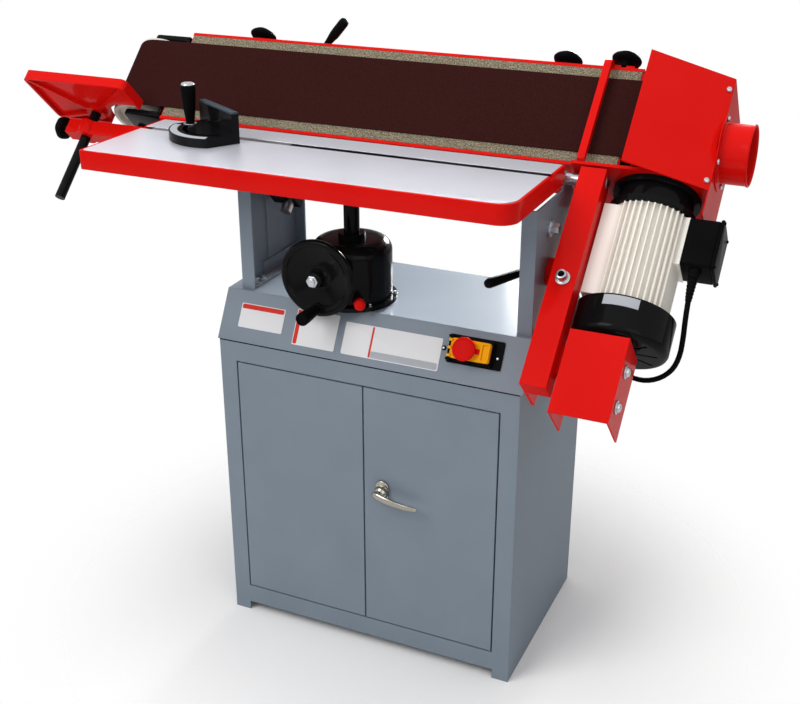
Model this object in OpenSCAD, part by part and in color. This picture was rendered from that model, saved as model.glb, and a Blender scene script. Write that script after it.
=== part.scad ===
// Oscillating edge belt sander on a floor cabinet, with a lifting table and a tilting belt head.
// Modelling frame: x along the belt, y to the back, z up, measured from the cabinet's front left foot.
// Head frame: origin on the tilt shaft, x along the belt, y behind the belt face, z along the drum axes.

/* [Cabinet] */
// Width of the cabinet
cab_w = 580; // [570:1:600]
// Depth of the cabinet
cab_d = 368; // [350:1:400]
// Height of the cabinet below the console
cab_h = 588; // [560:1:620]
// Thickness of the sheet steel
sheet = 2; // [1.5:0.5:3]
// Width of each front foot
foot_w = 32; // [24:1:45]
// Height of the cut-out between the feet
foot_notch = 19; // [12:1:30]
// Width of the frame beside the doors
stile_w = 33; // [28:1:45]
// Height of the frame below the doors
rail_low = 57; // [45:1:80]
// Height of the frame above the doors
rail_high = 39; // [30:1:60]
// Gap round each door
door_gap = 3; // [2.5:0.5:4]
// Depth of the folded door edges
door_edge = 16; // [14:1:20]

/* [Console] */
// Height of the console
console_h = 83; // [70:1:100]
// Set-back of the sloping front at its top
console_rake = 46; // [36:1:50]
// Set-back of the sloping rear at its top
console_rear = 73; // [50:1:80]
// Overhang past each side of the cabinet
console_over = 4; // [2:1:8]

/* [Uprights] */
// Width of the upright channels
upright_w = 26; // [22:1:32]
// Depth of the left channel
upright_d = 197; // [185:1:205]
// Further depth of the right channel behind the left one
upright_extra = 28; // [24:1:34]
// Thickness of the channel steel
upright_t = 4; // [3:0.5:5]
// Height of the channels above the console
upright_h = 216; // [208:1:217]
// Distance of the channels from the console's bottom front edge
upright_y = 55; // [52:1:60]

/* [Table] */
// Overhang of the table past the cabinet's left side
table_over = 221; // [212:1:224]
// Depth of the table
table_d = 256; // [240:1:270]
// Height of the table top above the console, lowered
table_up = 260; // [258:1:268]
// Thickness of the ground plates
plate_t = 8; // [6:1:8]
// Height of the painted rim
rim_h = 34; // [30:1:34]
// Thickness of the rim's wall
rim_t = 5; // [4:0.5:7]
// Radius of the front right corner
corner_r = 40; // [30:1:50]
// Width of the mitre slot
slot_w = 18; // [16:1:20]
// Distance of the slot's centre from the back edge
slot_back = 68; // [62:1:76]

/* [Lift] */
// Diameter of the gear pot
pot_d = 143; // [136:1:150]
// Height of the gear pot
pot_h = 112; // [104:1:125]
// Diameter of the lift column
column_d = 28; // [26:1:32]
// Diameter of the handwheel
wheel_d = 140; // [130:1:150]

/* [Belt head] */
// Width of the sanding belt
belt_w = 150; // [145:1:155]
// Thickness of the sanding belt
belt_t = 1.6; // [1:0.1:2]
// Diameter of both drums
drum_d = 126; // [124:1:128]
// Distance of the drive drum's axis past the cabinet's right side
drive_over = 141; // [139:1:144]
// Lean of the head behind upright
head_tilt = 45; // [40:1:45]
// Height of the platen channel
frame_h = 200; // [198:1:205]
// Depth of the platen channel
frame_d = 108; // [90:1:110]
// Length of the tilt beam
beam_l = 393; // [380:1:410]
// Width of the tilt beam
beam_w = 44; // [42:1:46]
// Depth of the tilt beam
beam_d = 100; // [96:1:105]
// Diameter of the tilt shaft
shaft_d = 20; // [18:1:20]

/* [Motor] */
// Diameter over the cooling fins
motor_d = 148; // [140:1:150]
// Length of the finned body
motor_l = 176; // [160:1:180]
// Height of the upper end shield
shield_h = 47; // [42:1:50]
// Diameter of the fan cover
cover_d = 164; // [158:1:166]
// Height of the fan cover
cover_h = 64; // [60:1:66]

/* [Dust hood] */
// Height of the hood
hood_h = 215; // [205:1:220]
// Outside diameter of the dust port
port_d = 102; // [96:1:106]
// Length of the dust port
port_l = 49; // [40:1:70]

/* [Hidden] */
$fn = 64;

// Colours
paint_red = "#d3150f";
paint_grey = "#7c8791";
paint_black = "#1c1c1e";
bare_steel = "#b9bcc0";
ground_steel = "#d5dbe2";
cast_silver = "#cfcabf";
belt_brown = "#3a1d1d";
graphite_gold = "#7a7060";
switch_yellow = "#f0a010";
button_green = "#2f8f3a";

// Fits and small shared sizes
over = 1;
fit = 0.05;
slip = 0.3;
steel = 4;
edge_r = 3;

// Derived heights and places of the stand
console_z = cab_h + console_h;
left_x = 21;
right_inset = 3;
right_x = cab_w - right_inset;
upright_z1 = console_z + upright_h;
table_inset = 1;
table_x0 = -table_over;
table_x1 = cab_w - table_inset;
table_l = table_x1 - table_x0;
table_z = console_z + table_up;
tilt_gap = 16;
pivot_y = 203;
pivot_down = 27;
pivot_z = table_z - pivot_down;
table_y1 = pivot_y - tilt_gap;
table_y0 = table_y1 - table_d;
plate_z = table_z - plate_t;
rim_z = table_z - rim_h;
slot_y = table_y1 - slot_back;

// Derived places of the belt head
belt_air = 0.4;
belt_front = 5;
belt_low = 50;
pad_t = 2;
pad_h = 187;
web_t = 5;
flange_t = 6;
idler_over = 111;
left_setback = 80;
right_setback = 62;
stroke = 5;
wrap_r = drum_d / 2 + belt_air + belt_t;
face_y = -belt_front;
drum_y = face_y + wrap_r;
belt_mid_z = belt_low + belt_w / 2;
idler_x = table_x0 - idler_over;
drive_x = cab_w + drive_over;
drum_span = drive_x - idler_x;
frame_x0 = idler_x + left_setback;
frame_x1 = drive_x - right_setback;
frame_z0 = belt_mid_z - frame_h / 2;
frame_z1 = frame_z0 + frame_h;
pad_y = face_y + belt_t + belt_air;
web_y = pad_y + pad_t;
frame_y1 = pad_y + frame_d;
drum_l = belt_w + 2 * stroke;
drum_z0 = belt_mid_z - drum_l / 2;
motor_plate_t = 6;
motor_z = frame_z0 - motor_plate_t;
beam_gap = 27;
beam_x0 = right_x + beam_gap;
beam_x1 = beam_x0 + beam_w;
beam_y0 = -25;
beam_y1 = beam_y0 + beam_d;
beam_z1 = 12;
beam_z0 = beam_z1 - beam_l;
beam_t = 5;
rod_d = 20;
rod_y = 30;
rod_left_x = 68;
rod_right_x = beam_x0 + beam_w / 2;
shield_z = motor_z - shield_h;
body_z = shield_z - motor_l;
cover_z = body_z - cover_h;

// The whole part stands on the floor with its box centred over the origin
aux_reach = 203;
hood_past_l = 90;
origin_x = (idler_x - aux_reach + drive_x + hood_past_l + port_l) / 2;
hood_back = 20;
hood_z0 = 15;
hood_y1 = face_y + 2 * wrap_r + hood_back;
back_y = pivot_y + (hood_z0 + hood_h) * sin(head_tilt) + hood_y1 * cos(head_tilt);
guard_y0 = beam_y0;
guard_h = 142;
guard_air = 8;
guard_z1 = cover_z - guard_air;
guard_z0 = guard_z1 - guard_h;
front_y = pivot_y + guard_z0 * sin(head_tilt) + guard_y0 * cos(head_tilt);
origin_y = (front_y + back_y) / 2;

module in_frame() translate([-origin_x, -origin_y, 0]) children();

module in_head() in_frame() translate([0, pivot_y, pivot_z]) rotate([-head_tilt, 0, 0]) children();

// A block between two opposite corners
module block(a, b) translate(a) cube(b - a);

// Round bars along each axis from a start point
module bar_x(p, l, d) translate(p) rotate([0, 90, 0]) cylinder(h = l, d = d);

module bar_y(p, l, d) translate(p) rotate([-90, 0, 0]) cylinder(h = l, d = d);

module bar_z(p, l, d) translate(p) cylinder(h = l, d = d);

// A rectangle from the origin with four round corners
module round_plate(w, h, r) {
    translate([r, 0]) square([w - 2 * r, h]);
    translate([0, r]) square([w, h - 2 * r]);
    for (x = [r, w - r], y = [r, h - r]) translate([x, y]) circle(r);
}

// A straight slot between two points, for cutting
module slot_cut(a, b, d) {
    run = b - a;
    for (p = [a, b]) translate(p) circle(d = d);
    translate(a) rotate(atan2(run[1], run[0])) translate([0, -d / 2]) square([norm(run), d]);
}

// A star knob with lobes, standing on z = 0
star_lobes = 5;
star_lobe_share = 0.34;
star_ring_share = 0.68;
star_neck_share = 0.45;
module star_knob(d, h) {
    neck = h * star_neck_share;
    cylinder(h = neck + fit, d = d * star_neck_share);
    translate([0, 0, neck]) linear_extrude(h - neck) {
        circle(d = d * star_ring_share);
        for (i = [0 : star_lobes - 1]) rotate((i + 1 / 2) * 360 / star_lobes)
            translate([d / 2 * (1 - star_lobe_share), 0]) circle(d = d * star_lobe_share);
    }
}

// A screw head with a hexagon and a washer, standing on z = 0
hex_share = 0.7;
washer_share = 1.5;
washer_t_share = 0.2;
module hex_head(d) {
    washer = d * washer_t_share;
    cylinder(h = washer, d = d * washer_share);
    translate([0, 0, washer]) cylinder(h = d * hex_share, d = d, $fn = 6);
}

// Cabinet with its folded front frame
floor_rise = 21;
floor_z = foot_notch + floor_rise;
door_x0 = stile_w;
door_x1 = cab_w - stile_w;
door_z0 = rail_low;
door_z1 = cab_h - rail_high;
fold = 20;
hinge_in = 5;
pin_d = 4;
pin_l = 14;
knuckle = 10;
knuckle_z = 2;
module cabinet() in_frame() color(paint_grey) difference() {
    union() {
        difference() {
            cube([cab_w, cab_d, cab_h]);
            block([sheet, sheet, floor_z + sheet], [cab_w - sheet, cab_d - sheet, cab_h + over]);
            block([sheet, sheet, -over], [cab_w - sheet, cab_d - sheet, floor_z]);
            block([door_x0, -over, door_z0], [door_x1, sheet + over, door_z1]);
            block([foot_w, -over, -over], [cab_w - foot_w, cab_d + over, foot_notch]);
        }
        for (z = [door_z0 - sheet, door_z1])
            block([door_x0, 0, z], [door_x1, fold, z + sheet]);
        for (x = [door_x0 - sheet, door_x1])
            block([x, 0, door_z0 - sheet], [x + sheet, fold, door_z1 + sheet]);
    }
    hinge_pin_places() bar_z([0, 0, -pin_l / 2], pin_l, pin_d);
}

module hinge_pin_places() {
    for (x = [door_x0 + door_gap + hinge_in, door_x1 - door_gap - hinge_in], z = [door_z0, door_z1])
        translate([x, hinge_in, z]) children();
}

// Doors: folded pans, each with two hinge knuckles behind its outer edge
door_mid = (door_x0 + door_x1) / 2;
door_w = door_mid - door_x0 - door_gap * 3 / 2;
door_h = door_z1 - door_z0 - 2 * door_gap;
module door_pan() {
    difference() {
        cube([door_w, door_edge, door_h]);
        block([sheet, sheet, sheet], [door_w - sheet, door_edge + over, door_h - sheet]);
    }
}

module door_blank() difference() {
    union() {
        door_pan();
        for (z = [0, door_h - knuckle])
            translate([0, 0, z]) cube([knuckle, knuckle, knuckle]);
    }
    for (z = [-over, door_h - knuckle - over])
        translate([hinge_in, hinge_in, z]) cylinder(h = knuckle + 2 * over, d = pin_d + 2 * fit);
}

module door_left() in_frame() color(paint_grey)
    translate([door_x0 + door_gap, 0, door_z0 + door_gap]) door_blank();

latch_in = 38;
latch_share = 0.5874;
latch_z = door_z0 + latch_share * (door_z1 - door_z0);
latch_shaft_d = 12;
module door_right() in_frame() color(paint_grey) difference() {
    translate([door_x1 - door_gap, 0, door_z0 + door_gap]) mirror([1, 0, 0]) door_blank();
    bar_y([door_mid + latch_in, -over, latch_z], sheet + 2 * over, latch_shaft_d + 2 * fit);
}

// Latch: oval rose, shaft, lever and the cam behind the door
rose_w = 26;
rose_h = 44;
rose_t = 6;
lever_out = 24;
lever_l = 84;
lever_d = 13;
cam_l = 56;
cam_w = 16;
cam_t = 3;
cam_air = 2;
cam_y = door_edge + cam_air;
module latch_handle() in_frame() color(bare_steel) translate([door_mid + latch_in, 0, latch_z]) {
    translate([0, -slip, 0]) rotate([90, 0, 0]) linear_extrude(rose_t)
        slot_cut([0, -(rose_h - rose_w) / 2], [0, (rose_h - rose_w) / 2], rose_w);
    bar_y([0, -lever_out, 0], lever_out + cam_y + cam_t, latch_shaft_d);
    bar_x([-lever_d / 2, -lever_out, 0], lever_l, lever_d);
    translate([-lever_d / 2, -lever_out, 0]) sphere(d = lever_d);
    translate([lever_l - lever_d / 2, -lever_out, 0]) sphere(d = lever_d);
    block([-cam_w / 2, cam_y, -cam_l], [cam_w / 2, cam_y + cam_t, cam_w / 2]);
}

// Console: a closed sheet hood with sloping front and rear, open below
console_x0 = -console_over;
console_l = cab_w + 2 * console_over;
rake_wall = sheet * norm([console_rake, console_h]) / console_h;
rear_wall = sheet * norm([console_rear, console_h]) / console_h;
inner_h = console_h - sheet;
well_air = 4;
well_d = column_d + 2 * well_air;
gland_y = 190;
gland_up = 37;
gland_z = cab_h + gland_up;
gland_hole = 14;
module console() in_frame() color(paint_grey) difference() {
    translate([console_x0, 0, cab_h]) rotate([90, 0, 90]) linear_extrude(console_l)
        polygon([[0, 0], [console_rake, console_h], [cab_d - console_rear, console_h], [cab_d, 0]]);
    translate([console_x0 + sheet, 0, cab_h]) rotate([90, 0, 90]) linear_extrude(console_l - 2 * sheet)
        polygon([
            [rake_wall, -over], [rake_wall, 0], [rake_wall + console_rake * inner_h / console_h, inner_h],
            [cab_d - rear_wall - console_rear * inner_h / console_h, inner_h],
            [cab_d - rear_wall, 0], [cab_d - rear_wall, -over]]);
    bar_z([pot_x, pot_y, console_z - 2 * sheet], 3 * sheet, well_d);
    bar_x([console_x0 + console_l - 2 * sheet, gland_y, gland_z], 3 * sheet, gland_hole);
}

// Cable gland on the console's right end
gland_d = 24;
gland_l = 18;
cable_d = 9;
module cable_gland() in_frame() color(paint_black) difference() {
    union() {
        bar_x([console_x0 + console_l, gland_y, gland_z], steel, gland_d);
        bar_x([console_x0 + console_l - 2 * sheet, gland_y, gland_z], 2 * sheet + gland_l, gland_hole);
        translate([console_x0 + console_l + steel, gland_y, gland_z]) rotate([0, 90, 0])
            cylinder(h = gland_l / 2, d = gland_d, $fn = 6);
    }
    bar_x([console_x0, gland_y, gland_z], console_l + gland_l - sheet, cable_d);
}

// Upright channels with foot flanges and a welded shaft ear each
ear_r = 12;
ear_t = 12;
rear_cut = 45;
foot_l = 30;
doubler_y = 141;
module channel(d, ear_y) {
    ear_low = upright_h - ear_r - rear_cut;
    difference() {
        union() {
            cube([upright_t, d, upright_h]);
            cube([upright_w, upright_t, upright_h]);
            translate([0, d - upright_t, 0]) cube([upright_w, upright_t, upright_h]);
            cube([upright_w, d, upright_t]);
        }
        translate([-over, d, upright_h]) rotate([45, 0, 0])
            translate([0, -rear_cut * cos(45), -rear_cut])
            cube([upright_w + 2 * over, 2 * rear_cut, 2 * rear_cut]);
        block([-over, ear_y - ear_r - fit, ear_low - fit],
            [upright_t + over, ear_y + ear_r + fit, upright_h + over]);
    }
    block([0, ear_y - ear_r, ear_low], [upright_t, ear_y + ear_r, pivot_z - console_z]);
    bar_x([0, ear_y, pivot_z - console_z], ear_t, 2 * ear_r);
}

module upright_left() in_frame() color(paint_grey) difference() {
    union() {
        translate([left_x, upright_y, console_z]) channel(upright_d, pivot_y - upright_y);
        block([left_x, upright_y + upright_d / 3, console_z],
            [left_x + 2 * upright_t, upright_y + upright_d, console_z + foot_l]);
        block([left_x, doubler_y, console_z],
            [left_x + upright_t * 3 / 2, pivot_y - ear_r - fit, upright_z1 - rear_cut]);
    }
    bar_x([left_x - over, pivot_y, pivot_z], ear_t + 2 * over, shaft_d + 2 * fit);
}

// The right channel is deeper, and holds the arc slot for the tilt clamp
stud_d = 16;
stud_y = 50;
stud_z = -152;
slot_air = 1.2;
arc_r = norm([stud_y, stud_z]);
module upright_right() in_frame() color(paint_grey) difference() {
    translate([right_x, upright_y, console_z]) mirror([1, 0, 0])
        channel(upright_d + upright_extra, pivot_y - upright_y);
    bar_x([right_x - ear_t - over, pivot_y, pivot_z], ear_t + 2 * over, shaft_d + 2 * fit);
    translate([right_x - upright_t - over, pivot_y, pivot_z]) rotate([90, 0, 90])
        linear_extrude(upright_t + 2 * over) clamp_arc();
}

// The path of the clamp stud in the y-z plane, from leaning to upright
stud_angle = atan2(stud_z, stud_y);
module clamp_arc() {
    half = stud_d / 2 + slot_air;
    spare = atan2(half, arc_r);
    difference() {
        circle(arc_r + half);
        circle(arc_r - half);
        rotate(stud_angle - head_tilt - spare) translate([-2 * arc_r, -2 * arc_r])
            square([4 * arc_r, 2 * arc_r]);
        rotate(stud_angle + spare) translate([-2 * arc_r, 0]) square([4 * arc_r, 2 * arc_r]);
    }
}

// Gear pot of the table lift
pot_x = 224;
pot_y = 99;
pot_wall = 6;
pot_top = 8;
pot_shoulder = 22;
pot_flange_w = 8.5;
pot_flange_d = pot_d + 2 * pot_flange_w;
pot_flange_t = 8;
collar_t = 10;
collar_d = column_d + 2 * collar_t;
collar_h = 10;
teeth = 12;
tooth_m = 2;
rack_in = 5;
rack_base = column_d / 2 - rack_in;
pitch_line = rack_base + tooth_m * 5 / 4;
shaft_x = pot_x - pitch_line - tooth_m * teeth / 2;
shaft_up = 61;
shaft_z = console_z + shaft_up;
drive_d = 14;
boss_d = 34;
boss_out = 2;
boss_in = 15;
boss_y0 = pot_y - pot_d / 2 - boss_out;
boss_y1 = pot_y - boss_in;
lock_angle = -56;
lock_up = 20;
lock_z = console_z + lock_up;
lock_d = 10;
lock_boss_d = 20;
module pot_profile() {
    r = pot_d / 2;
    square([pot_flange_d / 2, pot_flange_t]);
    square([r, pot_h - pot_shoulder]);
    square([r - pot_shoulder, pot_h]);
    translate([r - pot_shoulder, pot_h - pot_shoulder]) circle(pot_shoulder);
    square([collar_d / 2, pot_h + collar_h]);
}

module lift_pot() in_frame() color(paint_black) difference() {
    union() {
        difference() {
            translate([pot_x, pot_y, console_z]) rotate_extrude() intersection() {
                pot_profile();
                square([pot_flange_d, pot_h + collar_h]);
            }
            bar_z([pot_x, pot_y, console_z + pot_flange_t], pot_h - pot_flange_t - pot_shoulder,
                pot_d - 2 * pot_wall);
        }
        bar_y([shaft_x, boss_y0, shaft_z], boss_y1 - boss_y0, boss_d);
        translate([pot_x, pot_y, lock_z]) rotate([0, 90, lock_angle])
            translate([0, 0, pot_d / 2 - pot_wall - edge_r])
            cylinder(h = pot_wall + 2 * edge_r, d = lock_boss_d);
    }
    bar_z([pot_x, pot_y, console_z - over], pot_h + collar_h + 2 * over, column_d + 2 * fit);
    bar_y([shaft_x, boss_y0 - over, shaft_z], boss_y1 - boss_y0 + 2 * over, drive_d + 2 * fit);
    translate([pot_x, pot_y, lock_z]) rotate([0, 90, lock_angle])
        translate([0, 0, column_d]) cylinder(h = pot_d / 2, d = lock_d + 2 * fit);
}

// Lift column with a rack cut into its left side
column_up = 12;
column_z0 = cab_h + column_up;
bracket_t = 12;
bracket_z0 = plate_z - bracket_t;
pitch = PI * tooth_m;
rack_low_share = 18.5;
rack_low = shaft_z - rack_low_share * pitch;
rack_teeth = 22;
tip_height_share = 0.8;
tooth_tip = tooth_m * tip_height_share;
tooth_share = 0.36;
tip_share = 0.16;
module lift_column() in_frame() color(paint_black) translate([pot_x, pot_y, 0]) {
    intersection() {
        bar_z([0, 0, column_z0], bracket_z0 - column_z0, column_d);
        union() {
            block([-rack_base, -column_d, column_z0], [column_d, column_d, bracket_z0]);
            block([-column_d, -column_d, rack_low + rack_teeth * pitch], [column_d, column_d, bracket_z0]);
            for (i = [0 : rack_teeth - 1]) translate([0, 0, rack_low + (i + 1 / 2) * pitch])
                rotate([90, 0, 0]) translate([0, 0, -column_d / 2]) linear_extrude(column_d)
                polygon([
                    [-rack_base + edge_r, -pitch * tooth_share / 2 - over],
                    [-pitch_line, -pitch * tooth_share / 2], [-pitch_line - tooth_tip, -pitch * tip_share],
                    [-pitch_line - tooth_tip, pitch * tip_share], [-pitch_line, pitch * tooth_share / 2],
                    [-rack_base + edge_r, pitch * tooth_share / 2 + over]]);
        }
    }
}

// Bracket that carries the table on the column
bracket_w = 160;
bracket_d = 110;
bracket_collar = 30;
module table_bracket() in_frame() color(paint_black) difference() {
    union() {
        block([pot_x - bracket_w / 2, pot_y - bracket_d / 2, bracket_z0],
            [pot_x + bracket_w / 2, pot_y + bracket_d / 2, plate_z - fit]);
        bar_z([pot_x, pot_y, bracket_z0 - bracket_collar], bracket_collar, collar_d);
    }
    bar_z([pot_x, pot_y, bracket_z0 - bracket_collar - over], bracket_collar + over, column_d);
}

// Handwheel, its shaft with the pinion, and the crank grip
wheel_air = 3.5;
wheel_y = boss_y0 - wheel_air;
hub_d = 38;
hub_l = 24;
rim_r = 7;
dish_t = 5;
grip_pin_d = 8;
grip_l = 56;
grip_d = 24;
grip_in = 15;
grip_ring = wheel_d / 2 - grip_in;
nut_d = 22;
nut_l = 8;
module at_wheel() in_frame() translate([shaft_x, wheel_y, shaft_z]) rotate([90, 0, 0]) children();

module handwheel() at_wheel() color(paint_black) difference() {
    union() {
        rotate_extrude() {
            translate([wheel_d / 2 - rim_r, rim_r + steel]) circle(rim_r);
            translate([hub_d / 4, steel]) square([wheel_d / 2 - rim_r - hub_d / 4, dish_t]);
            square([hub_d / 2, hub_l]);
        }
        translate([0, -grip_ring, steel]) cylinder(h = 2 * rim_r, d = grip_d);
        translate([0, -grip_ring, steel]) cylinder(h = 2 * rim_r + grip_l - 2 * steel, d = grip_pin_d);
    }
    translate([0, 0, -over]) cylinder(h = hub_l + 2 * over, d = drive_d);
}

pinion_l = 14;
outer_share = 0.7;
tip_r = tooth_m * (teeth / 2 + outer_share);
root_r = tooth_m * (teeth / 2 - 1);
module pinion_shaft() at_wheel() color(bare_steel) {
    back = pot_y + pinion_l / 2 - wheel_y;
    translate([0, 0, -back]) cylinder(h = back + hub_l, d = drive_d);
    translate([0, 0, hub_l]) cylinder(h = nut_l, d = nut_d, $fn = 6);
    translate([0, 0, hub_l]) cylinder(h = nut_l + steel, d = drive_d);
    translate([0, 0, -back]) linear_extrude(pinion_l) {
        circle(root_r);
        for (i = [0 : teeth - 1]) rotate((i + 1 / 2) * 360 / teeth) polygon([
            [0, -pitch * tooth_share * 3 / 4], [tooth_m * teeth / 2, -pitch * tooth_share / 2],
            [tip_r, -pitch * tip_share / 2], [tip_r, pitch * tip_share / 2],
            [tooth_m * teeth / 2, pitch * tooth_share / 2], [0, pitch * tooth_share * 3 / 4]]);
    }
}

module crank_grip() at_wheel() color(paint_black)
    translate([0, -grip_ring, steel + 2 * rim_r + slip]) difference() {
        rotate_extrude() {
            square([grip_d / 2 - edge_r, grip_l]);
            translate([0, edge_r]) square([grip_d / 2, grip_l - 2 * edge_r]);
            for (z = [edge_r, grip_l - edge_r]) translate([grip_d / 2 - edge_r, z]) circle(edge_r);
        }
        translate([0, 0, -over]) cylinder(h = grip_l - steel, d = grip_pin_d + 2 * fit);
    }

lock_knob_l = 24;
lock_knob_d = 20;
lock_round = 4.5;
module column_lock() in_frame() color(paint_red)
    translate([pot_x, pot_y, lock_z]) rotate([0, 90, lock_angle]) {
        start = column_d / 2 + edge_r;
        reach = pot_d / 2 + 2 * edge_r + slip;
        translate([0, 0, start]) cylinder(h = reach + lock_knob_l - start, d = lock_d);
        translate([0, 0, reach]) rotate_extrude() {
            square([lock_knob_d / 2 - lock_round, lock_knob_l]);
            translate([0, lock_round]) square([lock_knob_d / 2, lock_knob_l - 2 * lock_round]);
            for (z = [lock_round, lock_knob_l - lock_round])
                translate([lock_knob_d / 2 - lock_round, z]) circle(lock_round);
        }
    }

// Table: painted rim with ribs, two ground plates and the bridges that join them
corner_left_r = 6;
rib_t = 6;
rib_h = 18;
shelf_w = 14;
rear_rib = 8;
module table_plan(inset) {
    x0 = table_x0 + inset;
    x1 = table_x1 - inset;
    y0 = table_y0 + inset;
    ra = corner_left_r;
    rb = corner_r - inset;
    translate([x0 + ra, y0]) square([x1 - x0 - ra - rb, table_y1 - y0]);
    translate([x0, y0 + ra]) square([x1 - x0 - rb, table_y1 - y0 - ra]);
    translate([x0, y0 + rb]) square([x1 - x0, table_y1 - y0 - rb]);
    translate([x0 + ra, y0 + ra]) circle(ra);
    translate([x1 - rb, y0 + rb]) circle(rb);
}

// The rim: a front bar, two rounded corners and two side bars, notched where the slot runs out
module rim_plan() difference() {
    table_plan(0);
    translate([0, over]) table_plan(rim_t);
    table_plan(rim_t);
}

module rim_bar(z, h, a, b) translate([0, 0, z]) linear_extrude(h) intersection() {
    rim_plan();
    translate(a) square(b - a);
}

module rim_side(x0, x1, y) {
    low_z = plate_z - slip;
    low_y = slot_y - slot_w / 2;
    high_y = slot_y + slot_w / 2;
    rim_bar(rim_z, low_z - rim_z, [x0, y], [x1, table_y1]);
    rim_bar(low_z + fit, table_z - low_z - fit, [x0, y], [x1, low_y]);
    rim_bar(low_z + fit, table_z - low_z - fit, [x0, high_y], [x1, table_y1]);
}

module table_frame() in_frame() color(paint_red) {
    turn_x = table_x1 - corner_r;
    turn_y = table_y0 + corner_r;
    front_x = table_x0 + 2 * corner_left_r;
    left_y = table_y0 + 2 * corner_left_r;
    shelf_z = plate_z - rib_t;
    rear_y = table_y1 - rear_rib;
    side_y = table_y0 + rim_t + shelf_w + fit;
    rim_bar(rim_z, rim_h, [table_x0, table_y0], [front_x - fit, left_y]);
    rim_bar(rim_z, rim_h, [front_x, table_y0], [turn_x, left_y]);
    rim_bar(rim_z, rim_h, [turn_x + fit, table_y0], [table_x1, turn_y]);
    rim_side(table_x0, table_x0 + 2 * corner_left_r, left_y + fit);
    rim_side(table_x1 - 2 * corner_left_r, table_x1, turn_y + fit);
    block([table_x0 + rim_t + fit, table_y0 + rim_t + fit, shelf_z],
        [turn_x, table_y0 + rim_t + shelf_w, plate_z - fit]);
    block([table_x0 + rim_t + fit, side_y, shelf_z],
        [table_x0 + rim_t + shelf_w, rear_y - rib_t - fit, plate_z - slip]);
    block([table_x1 - rim_t - shelf_w, turn_y, shelf_z],
        [table_x1 - rim_t - fit, rear_y - rib_t - fit, plate_z - slip]);
    block([table_x0 + rim_t + fit, rear_y - rib_t, plate_z - rib_h],
        [table_x1 - rim_t - fit, rear_y, plate_z - fit]);
    for (x = [pot_x - bracket_w / 2 - rib_t - fit, pot_x + bracket_w / 2 + fit])
        block([x, side_y, plate_z - rib_h], [x + rib_t, rear_y - rib_t - fit, plate_z - slip]);
}

module table_top() in_frame() color(ground_steel) translate([0, 0, plate_z]) linear_extrude(plate_t)
    difference() {
        table_plan(rim_t);
        translate([table_x0, slot_y - slot_w / 2]) square([table_l, slot_w]);
    }

bridge_left = 71;
bridge_mid = 289;
bridge_right = 126;
bridge_x = [table_x0 + bridge_left, table_x0 + bridge_mid, table_x1 - bridge_right];
bridge_l = 36;
bridge_w = 64;
bridge_h = 10;
module slot_bridges() in_frame() color(bare_steel)
    for (x = bridge_x) block([x - bridge_l / 2, slot_y - bridge_w / 2, plate_z - bridge_h - slip],
        [x + bridge_l / 2, slot_y + bridge_w / 2, plate_z - slip]);

// Mitre gauge: bar in the slot, swivelling head with its fence, lock knob
mitre_in = 171;
mitre_x = table_x0 + mitre_in;
bar_in = 26;
bar_x0 = table_x0 + bar_in;
bar_l = 290;
bar_gap = 0.2;
bar_top = 0.5;
mitre_turn = 58;
mitre_r = 91;
head_t = 16;
fence_near = 70;
fence_far = 62;
fence_h = 56;
fence_t = 14;
fence_back = 9;
disc_far = 72;
slot_stop = 24;
screw_reach = 62;
mitre_screw_d = 8;
mitre_pin_d = 6;
module mitre_bar() in_frame() color(bare_steel) {
    block([bar_x0, slot_y - slot_w / 2 + bar_gap, plate_z],
        [bar_x0 + bar_l, slot_y + slot_w / 2 - bar_gap, table_z - bar_top]);
    bar_z([mitre_x, slot_y, table_z - bar_top - over], head_t - over, mitre_pin_d);
}

module mitre_head() in_frame() color(paint_black)
    translate([mitre_x, slot_y, table_z + fit]) rotate(mitre_turn) difference() {
        union() {
            intersection() {
                cylinder(h = head_t, r = mitre_r);
                block([-mitre_r, -fence_near, 0], [fence_t - fence_back, disc_far, head_t]);
            }
            block([-fence_back, -fence_near, 0], [-fence_back + fence_t, fence_far, fence_h]);
        }
        translate([0, 0, -over]) cylinder(h = head_t, d = mitre_pin_d + 2 * fit);
        translate([0, 0, -over]) linear_extrude(head_t + 2 * over) difference() {
            circle(screw_reach + mitre_screw_d / 2 + slip);
            circle(screw_reach - mitre_screw_d / 2 - slip);
            translate([-slot_stop, -mitre_r]) square([2 * mitre_r, 2 * mitre_r]);
        }
    }

knob_low_d = 15;
knob_mid_d = 23;
knob_high_d = 27;
knob_low_h = 32;
knob_h = 70;
cap_h = 5;
module mitre_knob() in_frame() color(paint_black)
    translate([mitre_x - screw_reach, slot_y, table_z]) {
        translate([0, 0, fit]) cylinder(h = head_t + slip, d = mitre_screw_d);
        translate([0, 0, head_t + slip]) rotate_extrude() polygon([
            [0, 0], [knob_low_d / 2, 0], [knob_mid_d / 2, knob_low_h], [knob_high_d / 2, knob_h],
            [knob_mid_d / 2, knob_h + cap_h], [0, knob_h + cap_h]]);
    }

// Switch on the sloping front
slope_a = atan2(console_h, console_rake);
switch_right = 140;
switch_x = cab_w - switch_right;
switch_w = 98;
switch_s = 33;
switch_l = 49;
switch_base_t = 3;
switch_body_t = 8;
switch_in = 6;
switch_body_w = 76;
button_d = 16;
button_left = 36;
button_right = 62;
button_s = 24.5;
button_top = 1.5;
lid_gap = 2;
lid_t = 8;
lid_x0 = 5;
lid_w = 75;
lid_pin_x = 8;
lid_pin_n = 16;
lid_pin_d = 4;
lid_ear = 4;
mush_d = 38;
mush_rod = 12;
mush_h = 8;
mush_gap = 3;
module on_slope() in_frame() translate([switch_x, 0, cab_h]) rotate([slope_a, 0, 0])
    translate([0, switch_s, 0]) children();

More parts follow.
